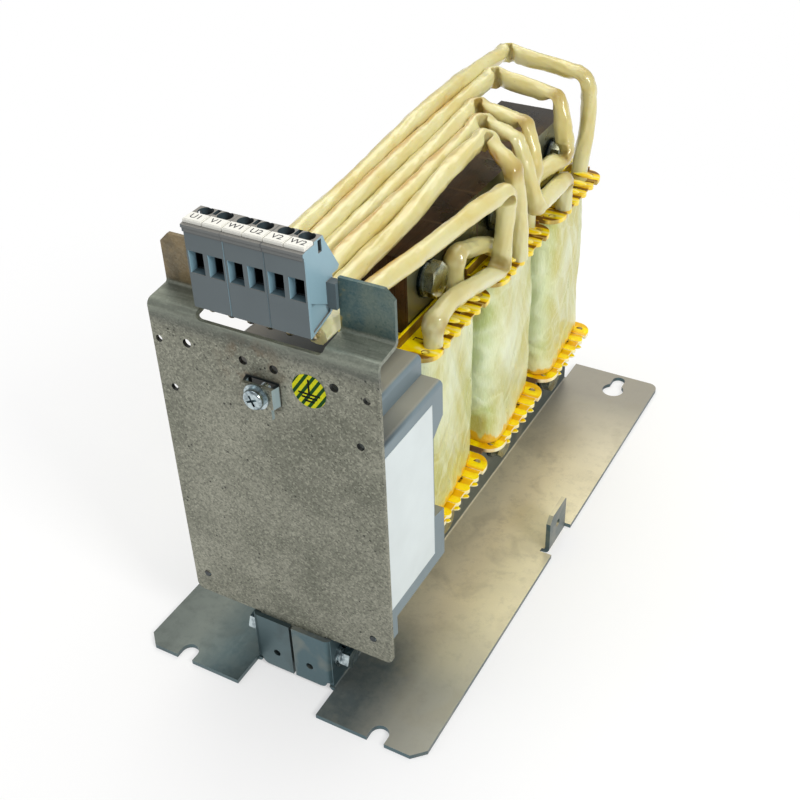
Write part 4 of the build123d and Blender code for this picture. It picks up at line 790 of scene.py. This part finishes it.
def sleeve_tree():
    """Sweeps a ring along the line, closes it at the folds and dents it slightly."""
    tree, given = new_tree("Sleeve", [
        ("Radius", "Float", 0.00345), ("Crease", "Float", 0.5), ("Wrinkle", "Float", 0.0005),
        ("Ring spacing", "Float", 0.0008), ("Seed", "Float", 0.0)])
    line = field(tree, "GeometryNodeMeshToCurve", 0, {"Mesh": given["Geometry"]})
    even = field(tree, "GeometryNodeResampleCurve", 0,
                 {"Curve": line, "Length": given["Ring spacing"]}, mode="LENGTH")
    held = add_node(tree, "GeometryNodeCaptureAttribute", {"Geometry": even})
    held.capture_items.new("VECTOR", "Centre")
    held.capture_items.new("FLOAT", "Run")
    here = field(tree, "GeometryNodeInputPosition", 0)
    passed = field(tree, "GeometryNodeSplineParameter", "Length")
    tree.links.new(here.socket, held.inputs["Centre"])
    tree.links.new(passed.socket, held.inputs["Run"])
    centre, run = (Field(tree, held.outputs[name]) for name in ("Centre", "Run"))
    ring = field(tree, "GeometryNodeCurvePrimitiveCircle", 0,
                 {"Resolution": 32, "Radius": given["Radius"]})
    tube = field(tree, "GeometryNodeCurveToMesh", 0,
                 {"Curve": held.outputs["Geometry"], "Profile Curve": ring, "Fill Caps": True})
    fold, flat, way = (
        field(tree, "GeometryNodeInputNamedAttribute", "Attribute", {"Name": name}, data_type=kind)
        for name, kind in (("fold", "FLOAT"), ("flat", "FLOAT"), ("inward", "FLOAT_VECTOR")))
    # the inside of a bend comes in, the outside swells and the sleeve widens sideways
    way = way.maths("NORMALIZE")
    spoke = here - centre
    outward = spoke.maths("NORMALIZE")
    reach = spoke.maths("DOT_PRODUCT", way)
    aside = spoke - way * reach
    inner = 1.0 - fold * given["Crease"] - flat * FLAT_INNER
    outer = fold * FOLD_OUTER + 1.0 - flat * FLAT_OUTER
    is_inner = reach.maths("GREATER_THAN", 0.0)
    squeeze = is_inner * inner + (1.0 - is_inner) * outer
    widen = fold * FOLD_WIDER + 1.0 + flat * FLAT_WIDER
    shaped = way * (reach * squeeze) + aside * widen
    # long flats with soft creases between them run along the sleeve
    travel = field(tree, "ShaderNodeCombineXYZ", 0,
                   {0: run * 26.0, 1: run * 11.0, 2: given["Seed"]})
    flats = grain(outward * 0.75 + travel, 1.6, 1.0, 0.5) - 0.5
    crease = abs(flats).ramp(0.07, 0.0, 0.0, -0.42)
    shifted = here + field(tree, "ShaderNodeCombineXYZ", 0, {0: given["Seed"]})
    broad = grain(shifted, 75.0, 1.0, 0.5) - 0.5
    sharp = grain(shifted, 210.0, 2.0, 0.4) - 0.5
    dents = flats * 1.5 + crease + broad * 0.8 + sharp * (flat * 1.7 + 0.4)
    placed = centre + shaped + outward * (dents * given["Wrinkle"])
    moved = field(tree, "GeometryNodeSetPosition", 0, {"Geometry": tube, "Position": placed})
    smooth = field(tree, "GeometryNodeSetShadeSmooth", 0, {"Geometry": moved})
    return close_tree(tree, smooth, given["Finish"])


class FILTER_OT_leads(bpy.types.Operator):
    """Makes the six sleeved leads, folded where they turn"""
    bl_idname = "filter.leads"
    bl_label = "Sleeved leads"

    def execute(self, context):
        sizes = context.scene.filter_looks.leads
        finish = sleeve_finish(sizes.colour)
        tree = sleeve_tree()
        for order, (name, points) in enumerate(ROUTES.items()):
            line = lead_line(name, points)
            mark_folds(line.data)
            run_tree(line, tree, {
                "Radius": sizes.radius, "Crease": sizes.crease, "Wrinkle": sizes.wrinkle,
                "Ring spacing": sizes.spacing, "Seed": 0.37 * order, "Finish": finish})
            seat(plain_mesh(line, "sleeve_" + name[-2:]), "sleeve", name)
        return {"FINISHED"}


# windings
WINDING_REAR_X = 24.6 * MM     # half width at the rear
WINDING_TAPER_Y = -12.0 * MM   # the narrowing starts here
WINDING_ROUND = 8.0 * MM
WINDING_SIDE_ROUND = 40.0 * MM
ARC_STEPS = 24
AROUND, ROWS = 260, 110        # vertices of a ring, and rows of faces
TUCK = 0.9 * MM                # how far the ends are drawn in
TUCK_SHARE = 0.07              # over this share of the half height


def winding_outline(half_x, half_y):
    """Even places and outward ways round the winding's tapered plan, about its middle."""
    corners = [(half_x, -half_y, WINDING_ROUND), (half_x, WINDING_TAPER_Y, WINDING_SIDE_ROUND),
               (WINDING_REAR_X, half_y, WINDING_ROUND)]
    corners += [(-x, y, round_off) for x, y, round_off in reversed(corners)]
    path = []
    for index, (x, y, radius) in enumerate(corners):
        here = Vector((x, y))
        before = (Vector(corners[index - 1][:2]) - here).normalized()
        after = (Vector(corners[(index + 1) % len(corners)][:2]) - here).normalized()
        half_angle = before.angle(after) / 2
        centre = here + (before + after).normalized() * radius / math.sin(half_angle)
        start = here + before * radius / math.tan(half_angle) - centre
        sweep = math.pi - 2 * half_angle
        path += [centre + Matrix.Rotation(sweep * step / ARC_STEPS, 2) @ start
                 for step in range(ARC_STEPS + 1)]
    run = [0.0]
    for index, spot in enumerate(path):
        run.append(run[-1] + (path[(index + 1) % len(path)] - spot).length)
    made, index = [], 0
    for step in range(AROUND):
        goal = run[-1] * step / AROUND
        while run[index + 1] < goal:
            index += 1
        share = (goal - run[index]) / max(run[index + 1] - run[index], 1e-9)
        made.append(path[index].lerp(path[(index + 1) % len(path)], share))
    outline = []
    for index, spot in enumerate(made):
        ahead = made[(index + 1) % AROUND] - made[index - 1]
        outline.append((spot.to_3d(), Vector((ahead.y, -ahead.x, 0)).normalized()))
    return outline


def ridge(x, y, z):
    """Sharp folds with flat ground between them, from about -0.6 to 1."""
    return 1.0 - 3.2 * abs(noise.noise(Vector((x, y, z))))


def crumple_height(place, way, seed):
    """Folds of the tape: puffs across the ends, long slanting pleats on the sides. The numbers
    beside x, y and z say how close together the folds lie, per metre."""
    side = way.x * way.x
    x, y, z = place
    slack = noise.noise(Vector((x * 45, y * 45, z * 40 + seed)))
    puffs = (0.95 * ridge(x * 26 + z * 16 + seed, y * 26, z * 58 - x * 24)
             + 0.22 * ridge(x * 70 - z * 50, y * 60 + seed, z * 105 + x * 40))
    pleats = (0.34 * ridge(x * 40, y * 80 + z * 34 + seed, z * 12)
              + 0.16 * ridge(x * 90 + seed, y * 190 + z * 90, z * 30)
              + 0.20 * ridge(x * 60, y * 60 - z * 55, z * 35 + seed))
    return 0.9 * slack + puffs * (1 - side) + pleats * side


class FILTER_OT_windings(bpy.types.Operator):
    """Makes the three windings, wrapped in crumpled tape"""
    bl_idname = "filter.windings"
    bl_label = "Taped windings"

    def execute(self, context):
        sizes = context.scene.filter_looks.windings
        finish = tape_finish(sizes.colour)
        for index, place in enumerate(PLACES):
            node = "winding_" + place
            low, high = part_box(node)
            outline = winding_outline((high.x - low.x) / 2, (high.y - low.y) / 2)
            work = bmesh.new()
            puff = work.verts.layers.float.new("puff")
            rings = []
            for row in range(ROWS + 1):
                level = row / ROWS
                tuck = max(0.0, abs(level - 0.5) * 2 - (1 - TUCK_SHARE)) / TUCK_SHARE
                swell = sizes.bulge * math.sin(math.pi * level) - TUCK * tuck ** 2
                ring = []
                for spot, way in outline:
                    spot = spot + (low + high) / 2
                    spot.z = low.z + (high.z - low.z) * level
                    fold = crumple_height(spot, way, 7.3 * index)
                    height = swell + sizes.crumple * (0.5 * fold - 0.35)
                    vertex = work.verts.new(spot + way * height)
                    # the fold's height is kept for the tape's painted highlights and shade
                    vertex[puff] = 0.5 + 0.45 * fold
                    ring.append(vertex)
                rings.append(ring)
            for lower, upper in zip(rings, rings[1:]):
                for i in range(AROUND):
                    j = (i + 1) % AROUND
                    work.faces.new((lower[i], lower[j], upper[j], upper[i])).smooth = True
            work.faces.new(list(reversed(rings[0])))
            work.faces.new(rings[-1])
            seat(object_of("taped_winding_" + place, work, finish), "coil_tape", node)
        return {"FINISHED"}


# bobbins
FLANGE = 2.0 * MM
FINGER_ROWS = [row * MM for row in (-13.05, -4.35, 4.35, 13.05)]
FINGER_MIDDLE = 27.2 * MM
FINGER_HALVES = (5.1 * MM, 2.1 * MM, 1.0 * MM)   # of the drop of resin on a finger
FINGER_SINK = 0.2 * MM


class FILTER_OT_bobbins(bpy.types.Operator):
    """Softens the edges of the three moulded bobbins and gives them their resin"""
    bl_idname = "filter.bobbins"
    bl_label = "Moulded bobbins"

    def execute(self, context):
        sizes = context.scene.filter_looks.bobbins
        finish = resin_finish(sizes.colour)
        for place in PLACES:
            node = "bobbin_" + place
            work = bmesh.new()
            work.from_mesh(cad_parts[node].data)
            bmesh.ops.remove_doubles(work, verts=work.verts, dist=0.01 * MM)
            bmesh.ops.dissolve_limit(work, angle_limit=math.radians(1), verts=work.verts,
                                     edges=work.edges)
            worker = object_of("comb_bobbin_" + place + "_work", work, finish)
            rounding = worker.modifiers.new("Rounding", "BEVEL")
            rounding.width = sizes.rounding
            rounding.segments = 2
            rounding.limit_method = "ANGLE"
            rounding.angle_limit = math.radians(40)
            rounding.harden_normals = False
            bobbin = plain_mesh(worker, "comb_bobbin_" + place)
            bobbin.data.shade_smooth()
            bobbin.data.set_sharp_from_angle(angle=math.radians(35))
            self.swell_fingers(bobbin.data, *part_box(node))
            seat(bobbin, "bobbin_resin", node)
        return {"FINISHED"}

    def swell_fingers(self, mesh, low, high):
        """Rounds the upper side of the comb's fingers with a long drop of resin on each."""
        work = bmesh.new()
        work.from_mesh(mesh)
        places = [Vector((side * FINGER_MIDDLE, (low.y + high.y) / 2 + row, top - FINGER_SINK))
                  for top in (high.z, low.z + FLANGE) for side in (-1, 1) for row in FINGER_ROWS]
        for middle in places:
            made = bmesh.ops.create_uvsphere(work, u_segments=16, v_segments=8, radius=1.0)
            for vertex in made["verts"]:
                vertex.co = middle + vertex.co * Vector(FINGER_HALVES)
                for face in vertex.link_faces:
                    face.smooth = True
        work.to_mesh(mesh)
        work.free()


# core
BOLT_HOLE = 4.3 * MM       # radius of the holes in the legs
HOLE_SIDES = 16
SHEET_SHARE = 0.94         # of the pitch that a sheet fills


def core_sheet(name, low, high, hole_levels, thick):
    """One sheet of the stack with its bolt holes, which starts at x = 0."""
    work = bmesh.new()
    middle = (low.y + high.y) / 2
    loops = [[(low.y, low.z), (high.y, low.z), (high.y, high.z), (low.y, high.z)]]
    for level in hole_levels:
        turns = [2 * math.pi * side / HOLE_SIDES for side in range(HOLE_SIDES)]
        loops.append([(middle + BOLT_HOLE * math.cos(turn), level + BOLT_HOLE * math.sin(turn))
                      for turn in turns])
    edges = []
    for loop in loops:
        made = [work.verts.new((0, y, z)) for y, z in loop]
        edges += [work.edges.new(pair) for pair in zip(made, made[1:] + made[:1])]
    bmesh.ops.triangle_fill(work, edges=edges, use_beauty=True)
    grown = bmesh.ops.extrude_face_region(work, geom=list(work.faces))["geom"]
    bmesh.ops.translate(work, vec=(thick, 0, 0),
                        verts=[part for part in grown if isinstance(part, bmesh.types.BMVert)])
    bmesh.ops.recalc_face_normals(work, faces=work.faces)
    return object_of(name, work)


def stack_tree():
    """Repeats a sheet along X, each a little out of line."""
    tree, given = new_tree("Sheet stack", [
        ("Sheets", "Int", 63), ("Pitch", "Float", 0.0005), ("Start", "Float", -0.0158),
        ("Unevenness", "Float", 0.00006), ("Seed", "Int", 1)])
    first, step = (field(tree, "ShaderNodeCombineXYZ", 0, {0: given[name]})
                   for name in ("Start", "Pitch"))
    row = field(tree, "GeometryNodeMeshLine", 0,
                {"Count": given["Sheets"], "Start Location": first, "Offset": step},
                mode="OFFSET")
    sheets = field(tree, "GeometryNodeInstanceOnPoints", 0,
                   {"Points": row, "Instance": given["Geometry"]})
    out = given["Unevenness"]
    back = out * -1.0
    high = field(tree, "ShaderNodeCombineXYZ", 0, {1: out})
    low = field(tree, "ShaderNodeCombineXYZ", 0, {1: back, 2: back})
    jitter = field(tree, "FunctionNodeRandomValue", 0,
                   {"Min": low, "Max": high, "Seed": given["Seed"]}, data_type="FLOAT_VECTOR")
    moved = field(tree, "GeometryNodeTranslateInstances", 0,
                  {"Instances": sheets, "Translation": jitter})
    return close_tree(tree, moved, given["Finish"])


class FILTER_OT_core(bpy.types.Operator):
    """Stacks the sheets of the core legs and yoke blocks"""
    bl_idname = "filter.core"
    bl_label = "Laminated core"

    def execute(self, context):
        sizes = context.scene.filter_looks.core
        finish = core_finish()
        tree = stack_tree()
        bolts = [middle_of(node).z for node in ("lower_core_bolts", "upper_core_bolts")]
        legs = [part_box("core_leg_" + place) for place in PLACES]
        half = legs[0][1].x
        pitch = 2 * half / sizes.sheets
        jobs = [("core_leg_" + place, [leg], bolts) for place, leg in zip(PLACES, legs)]
        for node in ("core_yoke_upper", "core_yoke_lower"):
            low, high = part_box(node)
            spacer = low.y - legs[0][1].y
            blocks = [(Vector((low.x, before[1].y + spacer, low.z)),
                       Vector((high.x, after[0].y - spacer, high.z)))
                      for before, after in zip(legs, legs[1:])]
            jobs.append((node, blocks, []))
        for order, (node, boxes, holes) in enumerate(jobs):
            pieces = []
            for low, high in boxes:
                worker = core_sheet(node + "_stack", low, high, holes, SHEET_SHARE * pitch)
                run_tree(worker, tree, {
                    "Sheets": sizes.sheets, "Pitch": pitch, "Start": -half,
                    "Unevenness": sizes.unevenness, "Seed": sizes.seed + order + len(pieces),
                    "Finish": finish})
                pieces.append(plain_mesh(worker, "laminated_" + node[5:]))
            if len(pieces) > 1:
                work = bmesh.new()
                for piece in pieces:
                    work.from_mesh(piece.data)
                work.to_mesh(pieces[0].data)
                work.free()
                bpy.data.objects.remove(pieces[1])
            seat(pieces[0], "core_steel", node)
        dress(paper_finish("gap_paper", (0.10, 0.055, 0.02), 0.5), "gap_spacers")
        return {"FINISHED"}


# marker tags
LETTERS = ("U1", "V1", "W1", "U2", "V2", "W2")
TAG_GAP = 0.35 * MM
INK_THICK = 0.05 * MM
LETTER_SHARE = 1.42        # font size for each unit of letter height
# the bars of the earth symbol: level, width and height in millimetres
EARTH_BARS = ((1.8, 0.7, 5.8), (-1.2, 8.4, 0.7), (-2.6, 6.0, 0.7), (-4.0, 3.8, 0.7))


class FILTER_OT_tags(bpy.types.Operator):
    """Makes the marker tags of the terminals and their letters"""
    bl_idname = "filter.tags"
    bl_label = "Marker tags"

    def execute(self, context):
        sizes = context.scene.filter_looks.letters
        low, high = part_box("marker_tags")
        pitch = (high.x - low.x + TAG_GAP) / len(LETTERS)
        work = bmesh.new()
        for index in range(len(LETTERS)):
            left = low.x + index * pitch
            add_block(work, (left, low.y, low.z),
                      (left + pitch - TAG_GAP, high.y, high.z - INK_THICK))
        upper = [edge for edge in work.edges
                 if all(vertex.co.z > (low.z + high.z) / 2 for vertex in edge.verts)]
        bmesh.ops.bevel(work, geom=upper, offset=0.3 * MM, segments=2, affect="EDGES")
        tags = object_of("white_tags", work, paper_finish("tag_white", (0.86, 0.85, 0.78), 0.4))
        seat(tags, "tag_white", "marker_tags")
        ink = ink_finish("marker_ink", sizes.colour)
        for index, text in enumerate(LETTERS):
            curve = bpy.data.curves.new("letters_" + text, "FONT")
            curve.body = text
            curve.size = sizes.height * LETTER_SHARE
            curve.align_x = "CENTER"
            curve.align_y = "CENTER"
            curve.extrude = INK_THICK / 2
            curve.resolution_u = 3
            letters = plain_mesh(object_from("letters_" + text, curve), "letters_" + text)
            middle = low.x + (index + 0.5) * pitch - 0.17 * MM
            letters.data.transform(Matrix.Translation(
                (middle, (low.y + high.y) / 2, high.z - INK_THICK / 2)))
            letters.data.materials.clear()
            letters.data.materials.append(ink)
            seat(letters, "tag_white")
        self.earth_symbol(ink_finish("symbol_ink", (0.002, 0.003, 0.002)))
        return {"FINISHED"}

    def earth_symbol(self, ink):
        """A line that stands on three bars, printed on the striped sticker."""
        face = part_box("earth_sticker")[0].y
        middle = middle_of("earth_sticker")
        work = bmesh.new()
        for level, width, height in EARTH_BARS:
            add_block(work, (middle.x - width / 2 * MM, face - 0.045 * MM,
                             middle.z + (level - height / 2) * MM),
                      (middle.x + width / 2 * MM, face + 0.005 * MM,
                       middle.z + (level + height / 2) * MM))
        seat(object_of("earth_symbol", work, ink), "sticker")


# nodes that keep their CAD shape
class FILTER_OT_finishes(bpy.types.Operator):
    """Gives the sheet metal, housings and fasteners their finishes"""
    bl_idname = "filter.finishes"
    bl_label = "Metal and plastic"

    def execute(self, context):
        # the right bracket's finish is light and warm and the left one's is a dark, bluer copy of
        # it: painted light and shade on the two sides of the base
        dress(bracket_finish("zinc_sheet_right", (0.84, 0.77, 0.56), (0.68, 0.62, 0.45),
                             (0.04, 0.075, 0.088), 0.9, (0.085, 0.15, 0.17), 0.45,
                             ((0.045, 0.110, 0.9, (0.30, 0.285, 0.25)),
                              (-0.055, -0.100, 0.75, (0.25, 0.26, 0.245)))),
              "base_bracket_right")
        dress(bracket_finish("zinc_sheet_left", (0.145, 0.168, 0.153), (0.095, 0.112, 0.105),
                             (0.10, 0.14, 0.145), 0.8, (0.11, 0.165, 0.178), 0.7, ()),
              "base_bracket_left")
        dress(plate_finish((0.315, 0.315, 0.25), (0.185, 0.19, 0.145)), "front_plate")
        dress(plastic_finish("box_grey", (0.135, 0.205, 0.24), 0.42, (0.31, 0.29, 0.22),
                             (0.22, 0.26, 0.28), 0.5, box_painted_shade), "capacitor_box")
        dress(plastic_finish("block_grey", (0.100, 0.128, 0.138), 0.40, (0.25, 0.23, 0.20),
                             (0.28, 0.45, 0.53), 0.92, block_seams_and_painted_shade),
              "terminal_module_left", "terminal_module_middle", "terminal_module_right")
        dress(paper_finish("label_white", (0.67, 0.74, 0.75), 0.4), "blank_label")
        dress(sticker_finish(), "earth_sticker")
        dress(screw_finish("green_zinc_bolts", (0.52, 0.54, 0.42), (0.22, 0.24, 0.18), 0.16,
                           stain=0.55),
              "upper_core_bolts", "lower_core_bolts")
        dress(screw_finish("dark_washers", (0.020, 0.036, 0.045), (0.010, 0.014, 0.016), 0.2),
              "core_flat_washers")
        dress(screw_finish("spring_steel", (0.34, 0.37, 0.35), (0.16, 0.18, 0.17), 0.22),
              "core_spring_washers")
        dress(screw_finish("bright_zinc", (0.50, 0.58, 0.60), (0.14, 0.18, 0.20), 0.13),
              "core_nuts", "plate_nuts", "plate_screws", "plate_flat_washers",
              "plate_spring_washers", "earth_screw", "earth_washer")
        dress(screw_finish("clamp_steel", (0.10, 0.13, 0.15), (0.05, 0.07, 0.08), 0.35),
              "clamp_screws")
        dress(screw_finish("tinned_wire", (0.74, 0.68, 0.52), (0.52, 0.42, 0.24), 0.22),
              "lead_tails")
        return {"FINISHED"}


# stage
CAMERA_PLACE = (0.19999, -0.37267, 0.36963)
CAMERA_AZIMUTH = 30.095
CAMERA_ELEVATION = 36.222
CAMERA_ROLL = -2.177
CAMERA_LENS = 52.99
SENSOR_WIDTH = 36.0
PART_MIDDLE = (0, 0, 0.1)
SHEEN_PLACE = (-0.44, 0.88, 1.20)      # where the camera sees light mirrored in the base
SHEEN_TARGET = (0.05, -0.03, 0.0)


def soft_lamp(name, place, target, size, power, colour):
    """A panel of light that looks at its target."""
    lamp = bpy.data.lights.new(name, "AREA")
    lamp.shape = "RECTANGLE"
    lamp.size, lamp.size_y = size
    lamp.energy = power
    lamp.color = colour
    holder = object_from(name, lamp)
    holder.location = place
    way = Vector(target) - Vector(place)
    holder.rotation_euler = way.to_track_quat("-Z", "Y").to_euler()


def surroundings(strength):
    """Even light from all sides, which the camera sees as plain white."""
    world = bpy.data.worlds.new("studio_surroundings")
    world.use_nodes = True
    tree = world.node_tree
    tree.nodes.clear()
    seen = add_node(tree, "ShaderNodeLightPath").outputs["Is Camera Ray"]
    dim, white = (add_node(tree, "ShaderNodeBackground", {"Color": colour, "Strength": power})
                  for colour, power in (((0.97, 0.98, 1.0, 1.0), strength),
                                        ((1.0, 1.0, 1.0, 1.0), 1.0)))
    mixed = add_node(tree, "ShaderNodeMixShader",
                     {0: seen, 1: dim.outputs[0], 2: white.outputs[0]})
    add_node(tree, "ShaderNodeOutputWorld", {"Surface": mixed.outputs[0]})
    return world


class FILTER_OT_stage(bpy.types.Operator):
    """Sets up the floor, the soft lamps, the surroundings and the camera"""
    bl_idname = "filter.stage"
    bl_label = "Stage"

    def execute(self, context):
        scene = context.scene
        sizes = scene.filter_looks.stage
        work = bmesh.new()
        bmesh.ops.create_grid(work, x_segments=24, y_segments=24, size=8.0)
        floor = object_of("floor", work, floor_finish(sizes.floor))
        soft_lamp("key_lamp", (1.3, -0.5, 1.0), PART_MIDDLE, (0.45, 0.45), sizes.key_power,
                  (1.0, 0.98, 0.94))
        soft_lamp("top_lamp", (-0.1, 0.3, 1.6), PART_MIDDLE, (1.6, 1.6), sizes.top_power,
                  (1.0, 1.0, 1.0))
        soft_lamp("sheen_lamp", SHEEN_PLACE, SHEEN_TARGET, (0.8, 0.7), sizes.sheen_power,
                  (1.0, 0.95, 0.80))
        soft_lamp("fill_lamp", (-1.2, -1.0, 0.7), PART_MIDDLE, (1.0, 1.0), sizes.fill_power,
                  (0.94, 0.97, 1.0))
        scene.world = surroundings(sizes.ambient)
        lens = bpy.data.cameras.new("photo_camera")
        lens.lens = CAMERA_LENS
        lens.sensor_width = SENSOR_WIDTH
        lens.clip_start = 0.01
        camera = object_from("photo_camera", lens)
        turn = Matrix()
        for degrees, axis in ((CAMERA_AZIMUTH, "Z"), (90 - CAMERA_ELEVATION, "X"),
                              (CAMERA_ROLL, "Z")):
            turn = turn @ Matrix.Rotation(math.radians(degrees), 4, axis)
        camera.matrix_world = Matrix.Translation(CAMERA_PLACE) @ turn
        scene.camera = camera
        scene.view_settings.view_transform = "Standard"
        return {"FINISHED"}


class FILTER_PT_panel(bpy.types.Panel):
    """Sizes, colours and steps of the filter's looks"""
    bl_idname = "FILTER_PT_panel"
    bl_label = "Sine wave filter"
    bl_space_type = "VIEW_3D"
    bl_region_type = "UI"
    bl_category = "Filter"

    def draw(self, context):
        looks = context.scene.filter_looks
        for title in looks.__annotations__:
            group = getattr(looks, title)
            box = self.layout.box()
            box.label(text=title.title())
            for name in group.__annotations__:
                box.prop(group, name)
        for step in STEPS:
            self.layout.operator(step.bl_idname)


STEPS = (FILTER_OT_stage, FILTER_OT_leads, FILTER_OT_windings, FILTER_OT_bobbins,
         FILTER_OT_core, FILTER_OT_tags, FILTER_OT_finishes)
CLASSES = (LeadSettings, WindingSettings, BobbinSettings, CoreSettings, LetterSettings,
           StageSettings, FilterSettings) + STEPS + (FILTER_PT_panel,)


def register():
    for item in CLASSES:
        bpy.utils.register_class(item)
    bpy.types.Scene.filter_looks = PointerProperty(type=FilterSettings)


def unregister():
    del bpy.types.Scene.filter_looks
    for item in reversed(CLASSES):
        bpy.utils.unregister_class(item)


def main():
    register()
    for step in STEPS:
        group, name = step.bl_idname.split(".")
        getattr(getattr(bpy.ops, group), name)()


if __name__ == "__main__":
    main()
